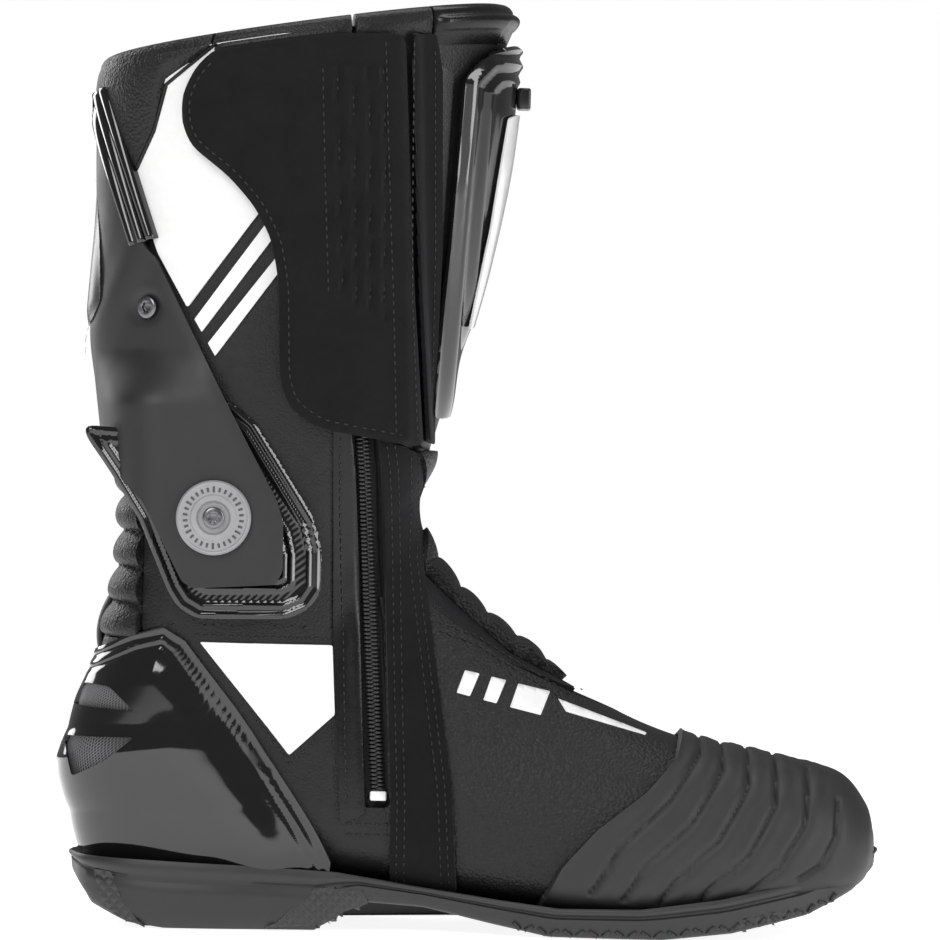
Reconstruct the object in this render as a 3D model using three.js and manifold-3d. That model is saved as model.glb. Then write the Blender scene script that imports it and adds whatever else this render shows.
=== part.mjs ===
// A left motorcycle sport boot, as an assembly: rubber sole, leather upper built over a last,
// hinged calf and ankle brace, shin plate, side zip and a hook-and-loop closure flap.
// Millimetres. +X points to the toe, +Y to the outer (lateral) side, +Z up.
// The origin is the centre of the heel's contact face, on the ground.
import * as THREE from "three";
import { mergeVertices } from "three/addons/utils/BufferGeometryUtils.js";
import { ParametricGeometry } from "three/addons/geometries/ParametricGeometry.js";
import Module from "manifold-3d";

const wasm = await Module();
wasm.setup();

// ---------------------------------------------------------------- driving dimensions
const footLength = 298; // leather foot, heel to toe
const bootHeight = 343; // ground to the front of the collar
const ballWidth = 102; // leather foot across the ball
const calfWidth = 112; // leather shaft across the collar

const leather = 2.4; // upper leather
const stiffener = 1.2; // toe puff and heel counter
const lining = 2.8; // padded lining
const gap = 0.3; // between pieces that touch
const panel = 1.2; // sewn-on leather panel
const suede = 2.0;
const capThickness = 2.6; // rubber toe cap
const guardThickness = 2.8; // moulded calf guard and its ankle arms
const surroundThickness = 3.2; // ribbed ankle surround, at the pivot
const surroundRib = 1.0;
const armClearance = 1.1; // between the ribs and the turning arm
const plateThickness = 3.0; // shin plate
const insertThickness = 0.8; // white insert let into the plate
const clipThickness = 2.7;

const postRadius = 6.0; // pivot bush that the arm turns on
const postClearance = 0.15;
const postFlange = 9.0;
const capRadius = 13.7; // round cap over the pivot
const capHeight = 2.4;
const pivotScrewRadius = 4.2;
const guardScrewRadius = 3.4;
const guardRecess = 5.4; // recess around the guard's screw

const zipSlot = 9.0; // gap in the leather that the zip fills
const zipTeeth = 6.0; // width of the closed teeth
const zipTapeWidth = 24;
const sliderLength = 15;
const sliderThickness = 1.3;
const sliderLift = 0.55; // above the leather
const pullLength = 28;
const pullThickness = 0.8;
const pullWidth = 8;

const insoleThickness = 2.0;
const footbedThickness = 4.0;

// ---------------------------------------------------------------- grading
// Every outline below is drawn for one base size and graded from it, as shoe patterns are. The boot's
// height grades the shaft alone, from the ankle up, so that the foot keeps its room.
const drawn = { length: 298, height: 343, ball: 102, calf: 112 };
const ankleHeight = 120;
const gradeX = footLength / drawn.length;
const gradeShaft = (bootHeight - ankleHeight) / (drawn.height - ankleHeight);
const gradeFoot = ballWidth / drawn.ball;
const gradeCalf = calfWidth / drawn.calf;
const at = (x, z) =>
  new THREE.Vector2(x * gradeX, Math.min(z, ankleHeight) + Math.max(0, z - ankleHeight) * gradeShaft);

// ---------------------------------------------------------------- the last
// Each station is a slice of the last: its bottom or back point, its top or front point, half its
// width, the sideways shift of its middle, how far up its widest point is, and how square it is
// below and above that point (2 is an ellipse). They fan from the toe round the heel to the collar.
const station = (bottom, top, half, shift, widest, below, above) => ({
  bottom, top, half, shift, widest, below, above,
});
const stations = [
  station([227, 31], [227, 37], 9, -9, 0.5, 2.4, 2.4),
  station([224, 23], [225, 47], 23, -8, 0.42, 2.6, 2.2),
  station([215, 18], [216, 58], 34, -7, 0.36, 3.0, 2.2),
  station([196, 13], [196, 63], 43, -4, 0.32, 3.4, 2.3),
  station([171, 10], [169, 69], 48, -1, 0.3, 3.6, 2.3),
  station([141, 8], [142, 78], 51, 1, 0.28, 3.8, 2.2),
  station([111, 9], [119, 90], 48, 3, 0.26, 3.8, 2.1),
  station([81, 12], [98, 104], 43, 3, 0.26, 3.6, 2.0),
  station([51, 16], [81, 117], 40, 2, 0.28, 3.4, 2.0),
  station([21, 19], [69, 129], 38.5, 1, 0.3, 3.2, 2.0),
  station([-9, 20], [62, 139], 38, 0, 0.34, 3.0, 2.1),
  station([-38, 22], [58, 147], 37.5, 0, 0.42, 2.6, 2.2),
  station([-58, 31], [56.5, 154], 38, 0, 0.5, 2.3, 2.3),
  station([-66, 48], [56.5, 160], 39, 0, 0.52, 2.3, 2.3),
  station([-67, 74], [57.5, 165], 39.5, 0, 0.52, 2.4, 2.4),
  station([-62, 100], [59, 170], 40.5, 0, 0.5, 2.5, 2.4),
  station([-56.5, 124], [60.5, 176], 41.5, 0, 0.5, 2.6, 2.5),
  station([-53.5, 150], [62, 182], 42.5, 0, 0.5, 2.6, 2.5),
  station([-55, 177], [65, 192], 44, 0, 0.5, 2.5, 2.4),
  station([-58.5, 207], [70, 217], 46.5, 0, 0.5, 2.3, 2.3),
  station([-61.5, 240], [77, 247], 48.2, 0, 0.5, 2.2, 2.2),
  station([-63, 274], [83, 281], 50.6, 0, 0.5, 2.2, 2.2),
  station([-63.5, 304], [86, 312], 53.4, 0, 0.5, 2.2, 2.2),
  station([-64, 320], [88.5, 343], 56, 0, 0.5, 2.2, 2.2),
];
const collar = stations.length - 1;
const ankleStart = 12; // from here up, widths are graded with the calf
const rings = [
  0, 0.6, 1.3, 2, 3, 4, 5, 6, 7, 8, 9, 10, 11, 12, 12.6, 13.2, 13.8, 14.5, 15.5, 17, 18, 19.5, 21, collar,
];
const around = 20; // points round each ring

const mix = THREE.MathUtils.lerp;

// One slice of the last at any place between the stations, on a smooth curve through them.
function slice(t) {
  const i = Math.min(Math.max(Math.floor(t), 0), collar - 1);
  const pick = (k) => stations[Math.min(Math.max(k, 0), collar)];
  const near = [pick(i - 1), pick(i), pick(i + 1), pick(i + 2)];
  const f = t - i;
  const smooth = (read) => {
    const [a, b, c, d] = near.map(read);
    const square = (2 * a - 5 * b + 4 * c - d) * f ** 2;
    return 0.5 * (2 * b + (c - a) * f + square + (3 * b - a - 3 * c + d) * f ** 3);
  };
  const calfShare = THREE.MathUtils.smoothstep(t, ankleStart - 4, ankleStart + 4);
  return {
    bottom: at(smooth((s) => s.bottom[0]), smooth((s) => s.bottom[1])),
    top: at(smooth((s) => s.top[0]), smooth((s) => s.top[1])),
    half: smooth((s) => s.half) * mix(gradeFoot, gradeCalf, calfShare),
    shift: smooth((s) => s.shift) * gradeFoot,
    widest: smooth((s) => s.widest),
    below: smooth((s) => s.below),
    above: smooth((s) => s.above),
  };
}

// A point of a skin lying outside the last. Angle 0 is the bottom or back, PI the top or front, and
// past PI is the inner (medial) side. The lift is a number, or a function of place and angle.
function lastPoint(t, angle, skin) {
  const s = slice(t);
  const lift = typeof skin === "function" ? skin(t, angle) : skin;
  const c = Math.cos(angle);
  const power = c > 0 ? s.below : s.above;
  const along = Math.sign(c) * Math.abs(c) ** (2 / power);
  const out = Math.sign(Math.sin(angle)) * Math.abs(Math.sin(angle)) ** (2 / power);
  const spine = s.top.clone().sub(s.bottom);
  const span = spine.length();
  const reach = (c > 0 ? s.widest * span : (1 - s.widest) * span) + lift;
  const p = s.bottom.clone().addScaledVector(spine, s.widest);
  p.addScaledVector(spine, (-along * reach) / span);
  const toeLift = lift * Math.max(0, 1 - t / 3);
  return new THREE.Vector3(p.x + toeLift, s.shift + out * (s.half + lift), p.y);
}

const medial = -1;
const lateral = 1;

// The point of the last that shows at a place in the side view, and the way its skin faces there.
function onLast(place, side) {
  const { x, y: z } = place;
  const depth = (px, pz) => {
    const p = new THREE.Vector2(px, pz);
    let [low, high] = [2, collar + 0.5];
    for (let i = 0; i < 40; i += 1) {
      const s = slice((low + high) / 2);
      const spine = s.top.clone().sub(s.bottom);
      if (spine.cross(p.clone().sub(s.bottom)) > 0) low = (low + high) / 2;
      else high = (low + high) / 2;
    }
    const s = slice(low);
    const spine = s.top.clone().sub(s.bottom);
    const span = spine.length();
    const along = spine.dot(p.sub(s.bottom)) / span - s.widest * span;
    const reach = along < 0 ? s.widest * span : (1 - s.widest) * span;
    const power = along < 0 ? s.below : s.above;
    const out = Math.max(0, 1 - Math.min(1, Math.abs(along) / reach) ** power) ** (1 / power);
    return s.shift + side * out * s.half;
  };
  const y = depth(x, z);
  const slopeX = (depth(x + 1, z) - depth(x - 1, z)) / 2;
  const slopeZ = (depth(x, z + 1) - depth(x, z - 1)) / 2;
  const normal = new THREE.Vector3(-slopeX, 1, -slopeZ).multiplyScalar(side).normalize();
  return { point: new THREE.Vector3(x, y, z), normal };
}

// ---------------------------------------------------------------- solids
// A closed geometry as a manifold solid that faces out.
function solid(geometry) {
  const bare = geometry.index ? geometry.toNonIndexed() : geometry.clone();
  for (const name of Object.keys(bare.attributes)) {
    if (name !== "position") bare.deleteAttribute(name);
  }
  const merged = mergeVertices(bare, 1e-4);
  const index = merged.index.array;
  const triVerts = [];
  for (let i = 0; i < index.length; i += 3) {
    const [a, b, c] = [index[i], index[i + 1], index[i + 2]];
    if (a !== b && b !== c && c !== a) triVerts.push(a, b, c);
  }
  const build = (order) =>
    new wasm.Manifold(
      new wasm.Mesh({
        numProp: 3,
        vertProperties: merged.attributes.position.array,
        triVerts: new Uint32Array(order),
      }),
    );
  const made = build(triVerts);
  if (made.volume() > 0) return made;
  return build(triVerts.reverse());
}

// The whole last, grown by "lift". With "over" it runs straight up past the collar, to cut an open top.
function lastSolid(lift, over = 0) {
  const last = rings.length - 1 + (over ? 1 : 0);
  const rows = last + 2;
  const skin = (u, v, target) => {
    const row = Math.min(Math.max(v * rows, 0), rows);
    const k = Math.min(Math.max(row - 1, 0), last);
    const i = Math.min(Math.floor(k), rings.length - 2);
    const t = Math.min(mix(rings[i], rings[i + 1], k - i), collar);
    const up = new THREE.Vector3(0, 0, over * Math.max(0, k - (rings.length - 1)));
    const onRing = lastPoint(t, (u % 1) * 2 * Math.PI, lift).add(up);
    const end = slice(t);
    const middle = end.bottom.clone().lerp(end.top, 0.5);
    const reach = t === 0 ? lastPoint(0, Math.PI, lift).x : middle.x;
    const centre = new THREE.Vector3(reach, end.shift, middle.y).add(up);
    if (row < 1) onRing.lerpVectors(centre, onRing, row);
    if (row > rows - 1) onRing.lerpVectors(centre, onRing, rows - row);
    target.copy(onRing);
  };
  return solid(new ParametricGeometry(skin, around, rows));
}

// The space between two skins of the last, open at the collar.
const skins = new Map();
function skinSolid(lift, over) {
  const key = `${lift} ${over}`;
  if (!skins.has(key)) skins.set(key, lastSolid(lift, over));
  return skins.get(key);
}
function band(inner, outer) {
  return skinSolid(outer, 0).subtract(skinSolid(inner, 12));
}

// A closed outline in the side view, drawn with [x, z] corners. Corners are rounded by "radius".
function outline(corners, radius = 0) {
  const points = corners.map(([x, z]) => at(x, z));
  if (!radius) return new THREE.Shape(points);
  const shape = new THREE.Shape();
  points.forEach((p, i) => {
    const before = points.at(i - 1);
    const after = points[(i + 1) % points.length];
    const trim = (q) => Math.min(radius, p.distanceTo(q) * 0.45);
    const a = p.clone().lerp(before, trim(before) / p.distanceTo(before));
    const b = p.clone().lerp(after, trim(after) / p.distanceTo(after));
    if (i === 0) shape.moveTo(a.x, a.y);
    else shape.lineTo(a.x, a.y);
    shape.quadraticCurveTo(p.x, p.y, b.x, b.y);
  });
  shape.closePath();
  return shape;
}

// A side-view outline, run sideways from y = from to y = to.
function prism(shape, from, to) {
  const block = new THREE.ExtrudeGeometry(shape, {
    depth: to - from,
    bevelEnabled: false,
    curveSegments: 3,
  });
  block.rotateX(Math.PI / 2).translate(0, to, 0);
  return solid(block);
}

const wide = 150; // past every side of the boot
const cuts = {
  medial: (shape) => prism(shape, -wide, 0),
  lateral: (shape) => prism(shape, 0, wide),
  both: (shape) => prism(shape, -wide, wide),
};

// A rod along an axis, from one point to another.
function rod(radius, start, end, segments = 24) {
  const axis = end.clone().sub(start);
  const cylinder = new THREE.CylinderGeometry(radius, radius, axis.length(), segments);
  const turn = new THREE.Quaternion().setFromUnitVectors(
    new THREE.Vector3(0, 1, 0),
    axis.clone().normalize(),
  );
  cylinder.applyQuaternion(turn);
  const middle = start.clone().lerp(end, 0.5);
  return solid(cylinder.translate(middle.x, middle.y, middle.z));
}

// ---------------------------------------------------------------- materials
const finish = (color, roughness, metalness = 0) =>
  new THREE.MeshStandardMaterial({ color, roughness, metalness });
const materials = {
  smoothLeather: finish(0x1c1c1d, 0.5),
  grainLeather: finish(0x242425, 0.55),
  whiteLeather: finish(0xe6e6e6, 0.5),
  suede: finish(0x0e0e0f, 0.95),
  rubber: finish(0x262626, 0.75),
  gripRubber: finish(0x3a3a3a, 0.85),
  softRubber: finish(0x141414, 0.45),
  guardPlastic: finish(0x444446, 0.55),
  glossPlastic: finish(0x0b0b0c, 0.12),
  whitePlastic: finish(0xdedede, 0.2),
  lining: finish(0x2a2a2c, 0.9),
  board: finish(0x8a7a62, 0.9),
  steel: finish(0xb0b0b0, 0.35, 1),
  zipTape: finish(0x101010, 0.85),
  zipTeeth: finish(0x0c0c0c, 0.4),
};

const groups = {
  foot: new THREE.Group(),
  shaft: new THREE.Group(),
  closure: new THREE.Group(),
  slider: new THREE.Group(),
  pull: new THREE.Group(),
};
const boot = new THREE.Group();
boot.add(...Object.values(groups));

function place(group, name, made, material) {
  const data = made.getMesh();
  const geometry = new THREE.BufferGeometry();
  geometry.setAttribute("position", new THREE.BufferAttribute(data.vertProperties, 3));
  geometry.setIndex(new THREE.BufferAttribute(data.triVerts, 1));
  geometry.computeVertexNormals();
  const mesh = new THREE.Mesh(geometry, materials[material]);
  mesh.name = name;
  groups[group].add(mesh);
}

// ---------------------------------------------------------------- sole
// The feather edge: the top of the rubber wall along the side of the foot.
const featherEdge = [
  [-90, 27], [-42, 25.5], [-5, 24], [30, 22], [59, 17.5], [89, 13.5], [112, 11], [142, 11.5],
  [171, 15.5], [201, 22], [220, 29], [245, 38],
];
const soleBottom = [
  [-76, 26], [-70, 17], [-62, 8], [-48, 2], [-34, 0], [22, 0], [38, 11], [62, 9.5], [88, 4], [108, 0],
  [150, 0], [176, 3], [204, 9.5], [222, 18], [240, 33],
];
// Half outlines of the sole seen from above, from the heel to the toe: medial (-Y) and lateral.
const soleMedial = [
  [-73, -10], [-66, -26], [-48, -37], [-20, -40], [15, -37.5], [50, -37.5], [85, -43], [115, -50],
  [145, -54], [175, -53], [200, -47], [218, -37], [229, -23],
];
const soleLateral = [
  [230, 2], [222, 17], [206, 32], [180, 46], [150, 54], [115, 54.5], [80, 49], [45, 43], [10, 40.5],
  [-20, 40], [-48, 36], [-66, 26], [-73, 10],
];

const aboveSole = cuts.both(
  outline([...featherEdge.map(([x, z]) => [x, z + gap]), [300, 420], [-150, 420]]),
);

function soleBody() {
  const side = prism(outline([...soleBottom, ...featherEdge.toReversed()]), -wide, wide);
  const plan = new THREE.Shape(
    [...soleMedial, ...soleLateral].map(([x, y]) => new THREE.Vector2(x * gradeX, y * gradeFoot)),
  );
  const column = new THREE.ExtrudeGeometry(plan, { depth: 90, bevelEnabled: false });
  return side.intersect(solid(column.translate(0, 0, -20))).subtract(lastSolid(gap));
}

// Softer grip rubber let into the heel's back corner, the heel's breast and the tread.
const gripInserts = {
  heel_grip_rear: [[-61, 21], [-54, 20.5], [-50, 11], [-42, -3], [-50, -3], [-57, 8]],
  heel_grip_front: [[22, 16], [39, 15.5], [42, 9], [26, -4], [2, -4], [8, 3]],
  forefoot_grip: [[179, 8], [197, 12], [196, 5], [186, -3], [168, -3], [172, 4]],
};

function buildSole() {
  let body = soleBody();
  const whole = body;
  for (const [name, corners] of Object.entries(gripInserts)) {
    const insert = whole.intersect(cuts.both(outline(corners)));
    const mean = (i) => corners.reduce((sum, corner) => sum + corner[i], 0) / corners.length;
    const [x0, z0] = [mean(0), mean(1)];
    const away = corners.map(([x, z]) => {
      const grow = 1 + (2 * gap) / Math.hypot(x - x0, z - z0);
      return [mix(x0, x, grow), mix(z0, z, grow)];
    });
    body = body.subtract(cuts.both(outline(away)));
    place("foot", name, insert, "gripRubber");
  }
  place("foot", "outsole", body, "rubber");
}

// ---------------------------------------------------------------- insole and footbed
// A layer lying "rise" above the last's bottom line, kept inside the leather.
function floorLayer(rise, thickness, from, to, width) {
  const line = [];
  for (let t = from; t <= to; t += 1) line.push(slice(t));
  const lower = line.map((s) => s.bottom.clone().add(new THREE.Vector2(0, rise)));
  const upper = line.map((s) => s.bottom.clone().add(new THREE.Vector2(0, rise + thickness)));
  const side = prism(new THREE.Shape([...lower, ...upper.reverse()]), -wide, wide);
  const plan = new THREE.Shape([
    ...line.map((s) => new THREE.Vector2(s.bottom.x, s.shift - width(s))),
    ...line.toReversed().map((s) => new THREE.Vector2(s.bottom.x, s.shift + width(s))),
  ]);
  const column = new THREE.ExtrudeGeometry(plan, { depth: 200, bevelEnabled: false });
  return side.intersect(solid(column.translate(0, 0, -20)));
}

const insideLeather = -leather - gap;
const insideStiffener = insideLeather - stiffener - gap;
const insideLining = insideStiffener - lining;
const insoleRise = leather + 2 * gap;
const footbedRise = insoleRise + insoleThickness + gap;
const floorTop = footbedRise + footbedThickness + gap;

function buildFloor() {
  const full = (s) => (s.half - leather - stiffener) * 0.72;
  const fit = (layer) => layer.intersect(skinSolid(insideLeather, 0));
  place("foot", "insole_board", fit(floorLayer(insoleRise, insoleThickness, 2, 11, full)), "board");
  place("foot", "footbed", fit(floorLayer(footbedRise, footbedThickness, 2, 11, full)), "lining");
}

// ---------------------------------------------------------------- upper
// Side-view regions. The ankle is a soft ring between the stiff foot and the stiff shaft.
const ankleTop = [[-95, 190], [-52, 190], [-30, 203], [6, 203], [34, 186], [58, 178], [95, 176]];
const ankleFloor = [
  [135, 80], [118, 88], [92, 100], [66, 118], [42, 124], [28, 113], [-34, 113], [-52, 107], [-95, 107],
];
const collarLine = [[-110, 300], [140, 341]];
const collarSwell = 1.0; // how far the collar's padding stands proud of the leather
const above = (line) => outline([...line, [140, 460], [-110, 460]]);
const footRegion = outline([...ankleFloor, [-95, -30], [300, -30], [300, 80]]);
const ankleRegion = outline([
  ...ankleTop.map(([x, z]) => [x, z - gap]),
  [200, 160], [200, 80 + gap],
  ...ankleFloor.map(([x, z]) => [x, z + gap]),
]);
const shaftRegion = outline([...ankleTop, [140, 176], [140, 341], [-110, 300], [-110, 190]]);

// The zip's line in the side view, from the collar down to the bottom stop.
const zipLine = [[31, 331], [34, 260], [36.5, 195], [38.5, 170], [41, 115], [44.5, 48]];

// A strip along a line in the side view, "before" mm behind it and "after" mm in front of it.
function strip(line, before, after) {
  return new THREE.Shape([
    ...line.map(([x, z]) => at(x, z).add(new THREE.Vector2(after, 0))),
    ...line.toReversed().map(([x, z]) => at(x, z).add(new THREE.Vector2(-before, 0))),
  ]);
}
const zipOpen = [[29.5, 400], ...zipLine];
const zipSlotCut = cuts.medial(strip(zipOpen, zipSlot / 2, zipSlot / 2));

function buildUpper() {
  const shell = band(-leather, 0).subtract(zipSlotCut);
  place("foot", "foot_upper", shell.intersect(cuts.both(footRegion)), "grainLeather");
  place("shaft", "shaft_upper", shell.intersect(cuts.both(shaftRegion)), "smoothLeather");

  const floor = [];
  for (let t = 1; t <= ankleStart; t += 1) {
    floor.push(slice(t).bottom.clone().add(new THREE.Vector2(0, floorTop)));
  }
  const overFloor = new THREE.Shape([
    new THREE.Vector2(2 * wide, floor[0].y), ...floor, new THREE.Vector2(-wide, floor.at(-1).y),
    new THREE.Vector2(-wide, 4 * wide), new THREE.Vector2(2 * wide, 4 * wide),
  ]);
  const cleared = prism(overFloor, -wide, wide);
  const stiff = band(insideLeather - stiffener, insideLeather).intersect(cleared);
  const puffRegion = outline([[160, 90], [185, -20], [300, -20], [300, 90]]);
  const counterRegion = outline([[-90, 104], [-40, 104], [5, 24], [5, -10], [-90, -10]]);
  place("foot", "toe_puff", stiff.intersect(cuts.both(puffRegion)), "board");
  place("foot", "heel_counter", stiff.intersect(cuts.both(counterRegion)), "board");

  const sock = band(insideLining, insideStiffener);
  place("foot", "foot_lining", sock.intersect(cuts.both(footRegion)).intersect(cleared), "lining");
  place("shaft", "ankle_lining", sock.intersect(cuts.both(ankleRegion)), "lining");
  place("shaft", "shaft_lining", sock.intersect(cuts.both(shaftRegion)), "lining");

  const ring = band(insideLining, collarSwell).subtract(zipSlotCut);
  const overCollar = cuts.both(above(collarLine.map(([x, z]) => [x, z + gap])));
  place("shaft", "collar_pad", ring.intersect(overCollar), "smoothLeather");
}

// ---------------------------------------------------------------- soft ankle
// Four soft pieces close the ring between the foot and the shaft: two leather sides, and a
// quilted stretch panel at the back and over the instep. They bend when the ankle does.
const rearSeam = -44;
const frontSeam = [[52, 220], [55, 165], [58, 134], [72, 120], [92, 103], [118, 89.5], [135, 78]];
const quilt = 2.2;

function buildAnkle() {
  const flat = band(-leather, 0).intersect(cuts.both(ankleRegion));
  const padded = band(-leather, quilt).intersect(cuts.both(ankleRegion));
  const sides = outline([[rearSeam, 60], [rearSeam, 220], ...frontSeam, [135, 60]]);
  const toInstep = frontSeam.map(([x, z]) => [x + 1, z + 1]);
  const behindSeam = cuts.medial(outline([[20, 60], [20, 220], ...toInstep, [135, 60]]));
  const rear = outline([[rearSeam - gap, 60], [rearSeam - gap, 220], [-110, 220], [-110, 60]]);
  const front = outline([...frontSeam.map(([x, z]) => [x + 2 * gap, z + gap]), [200, 79], [200, 220]]);
  const behindZip = cuts.medial(outline([[-110, 20], [-110, 220], [30, 220], [44, 20]]));
  const beforeZip = cuts.medial(outline([[36, 220], [46, 20], [200, 20], [200, 220]]));
  const medialSide = flat.subtract(zipSlotCut);
  const rearHalf = medialSide.intersect(cuts.medial(sides)).intersect(behindZip);
  const tongue = medialSide.intersect(beforeZip).intersect(behindSeam);
  place("shaft", "ankle_side_medial", rearHalf, "smoothLeather");
  place("shaft", "ankle_side_lateral", flat.intersect(cuts.lateral(sides)), "smoothLeather");
  place("shaft", "ankle_stretch_rear", padded.intersect(cuts.both(rear)), "grainLeather");
  place("shaft", "ankle_stretch_front", padded.intersect(cuts.both(front)).add(tongue), "grainLeather");
}

// ---------------------------------------------------------------- panels sewn on the upper
const onUpper = (thickness) => band(gap, gap + thickness);

function buildPanels() {
  const patch = outline([[-18, 105], [26, 104], [27, 80], [11, 66]]);
  for (const [side, cut] of [["medial", cuts.medial], ["lateral", cuts.lateral]]) {
    place("foot", `heel_patch_${side}`, onUpper(panel).intersect(cut(patch)), "whiteLeather");
  }
  const white = outline([
    [-17, 313], [-36, 310], [-39, 294], [-44.5, 274], [-36.5, 254], [-12, 204], [7, 227], [15, 260],
    [15, 318],
  ]);
  place("shaft", "white_panel_medial", onUpper(panel).intersect(cuts.medial(white)), "whiteLeather");
  place("shaft", "white_panel_lateral", onUpper(panel).intersect(cuts.lateral(white)), "whiteLeather");

  const suedeStrip = outline([
    [45.5, 168], [54, 168], [55, 137], [65, 89], [71, 55], [75, 18], [52, 18], [52, 51], [47, 107],
  ]);
  const strap = onUpper(suede).intersect(cuts.medial(suedeStrip)).intersect(aboveSole);
  place("shaft", "suede_strip", strap, "suede");
  const placket = outline([[27, 182], [31.5, 182], [38, 48], [30, 44]]);
  place("shaft", "zip_placket", onUpper(panel).intersect(cuts.medial(placket)), "smoothLeather");
}

// ---------------------------------------------------------------- toe and heel armour
const capOuter = gap + capThickness;
const toeEdge = [[159, 100], [159, 74], [155.5, 64], [144.5, 53], [126, 39.5], [113, 26], [105, 12]];
const heelEdge = [[-80, 99], [-62, 102], [-46, 108], [-35, 111], [-27, 106], [29, 29], [28, 20]];
const vents = [
  [[-64, 88], [-56, 87], [-49, 79], [-69, 81]],
  [[-69, 69], [-49, 69], [-66, 57]],
];
const ventPocket = [[-72, 92], [-52, 90], [-44, 79], [-44, 66], [-64, 52], [-72, 54]];
const screenThickness = 0.9;
const heelSkin = 3.2;
const heelRidge = 7; // the ridge round the back of the heel cup
const sliderPlate = 3.1; // toe slider
const sliderScrewRadius = 2.9;
const sliderScrewHeight = 2.7;
const heelTab = 2.0;

function buildArmour() {
  const cap = onUpper(capThickness).intersect(cuts.both(outline([...toeEdge, [300, 12], [300, 100]])));
  place("foot", "toe_cap", cap.intersect(aboveSole), "rubber");

  const slider = band(capOuter + gap, capOuter + gap + sliderPlate);
  const sliderRegion = outline([[168, 27], [172, 50], [205, 56], [217, 50], [219, 36], [205, 27]], 4);
  let block = slider.intersect(cuts.lateral(sliderRegion)).intersect(aboveSole);
  [[182, 40], [205, 43]].forEach(([x, z], i) => {
    const { point, normal } = onLast(at(x, z), lateral);
    const line = (lift) => point.clone().addScaledVector(normal, lift);
    const seat = capOuter + gap;
    block = block.subtract(rod(sliderScrewRadius + gap, line(0), line(seat + 3 * sliderPlate)));
    const head = rod(sliderScrewRadius, line(seat), line(seat + sliderScrewHeight));
    place("foot", `toe_slider_screw_${i + 1}`, head, "steel");
  });
  place("foot", "toe_slider", block, "glossPlastic");

  const ridge = (t, angle) => {
    const level = Math.exp(-(((t - 13.75) / 0.75) ** 2));
    return gap + heelSkin + heelRidge * level * Math.max(0, Math.cos(angle)) ** 1.5;
  };
  const body = lastSolid(ridge).subtract(skinSolid(gap, 0));
  const cupRegion = cuts.both(outline([...heelEdge, [-95, 20], [-95, 99]]));
  let cup = body.intersect(cupRegion).intersect(aboveSole);
  // A mesh screen lies in a pocket behind the two vents of each side.
  const pocket = outline(ventPocket);
  const screenEdge = outline(ventPocket.map(([x, z]) => [mix(x, -60, 0.06), mix(z, 72, 0.06)]));
  const screenInset = 0.5;
  const screen = band(gap, gap + screenThickness);
  const relief = band(0, gap + screenThickness + gap);
  for (const [side, from, to] of [["medial", -wide, -9], ["lateral", 9, wide]]) {
    const room = Math.sign(from + to) * screenInset;
    cup = cup.subtract(relief.intersect(prism(pocket, from, to)));
    vents.forEach((corners) => {
      cup = cup.subtract(prism(outline(corners), from, to));
    });
    const mesh = screen.intersect(prism(screenEdge, from + room, to + room));
    place("foot", `heel_vent_screen_${side}`, mesh, "gripRubber");
  }
  place("foot", "heel_cup", cup, "glossPlastic");
  const tabRegion = prism(outline([[-95, 103], [-40, 108], [-40, 122], [-95, 122]]), -8, 8);
  const tab = band(quilt + gap, quilt + gap + heelTab).intersect(tabRegion);
  place("foot", "heel_tab", tab, "smoothLeather");
}

// ---------------------------------------------------------------- ankle pivot
const pivot = at(-17.3, 152.5);
const ankleHalf = Math.max(...[12, 15, 16, 17, 17.5, 18, 18.5].map((t) => slice(t).half));
const surroundFace = ankleHalf + gap + 1.2;
const armFace = surroundFace + surroundRib + armClearance;
const armOuter = armFace + guardThickness;
const capFace = armOuter + gap;
const surroundRegion = outline([
  [-13, 196], [-3, 188], [8, 171], [20, 152], [22.6, 141], [22.6, 126], [18, 119], [10, 115.5],
  [-23, 115], [-30, 119], [-34, 125], [-45, 151], [-56, 168], [-56, 181], [-36, 181],
]);
const armRegion = outline([
  [-55, 204], [-17, 204], [-13.6, 197], [5.8, 159], [8, 151], [8, 133], [5.6, 128], [-23.6, 127],
  [-27.4, 129.5], [-41, 158.5], [-52, 172],
]);
const ribs = [21.5, 28, 34.5, 41];
const ribWidth = 2.6;
const ribSlope = 0.7;
const capEdge = 0.8; // chamfer round the cap's face and the screw's
const recessDepth = 1.4; // of the screw in the cap
const recessRoom = 1.2; // round the screw

// A shape turned about the pivot's sideways axis, from [radius, y] corners; mirrored for the inner side.
function turned(profile, side, segments = 28) {
  const lathe = new THREE.LatheGeometry(profile.map(([r, y]) => new THREE.Vector2(r, y)), segments);
  const made = solid(lathe.scale(1, 1, -1).translate(pivot.x, 0, pivot.y));
  return side === medial ? made.mirror([0, 1, 0]) : made;
}

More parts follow.
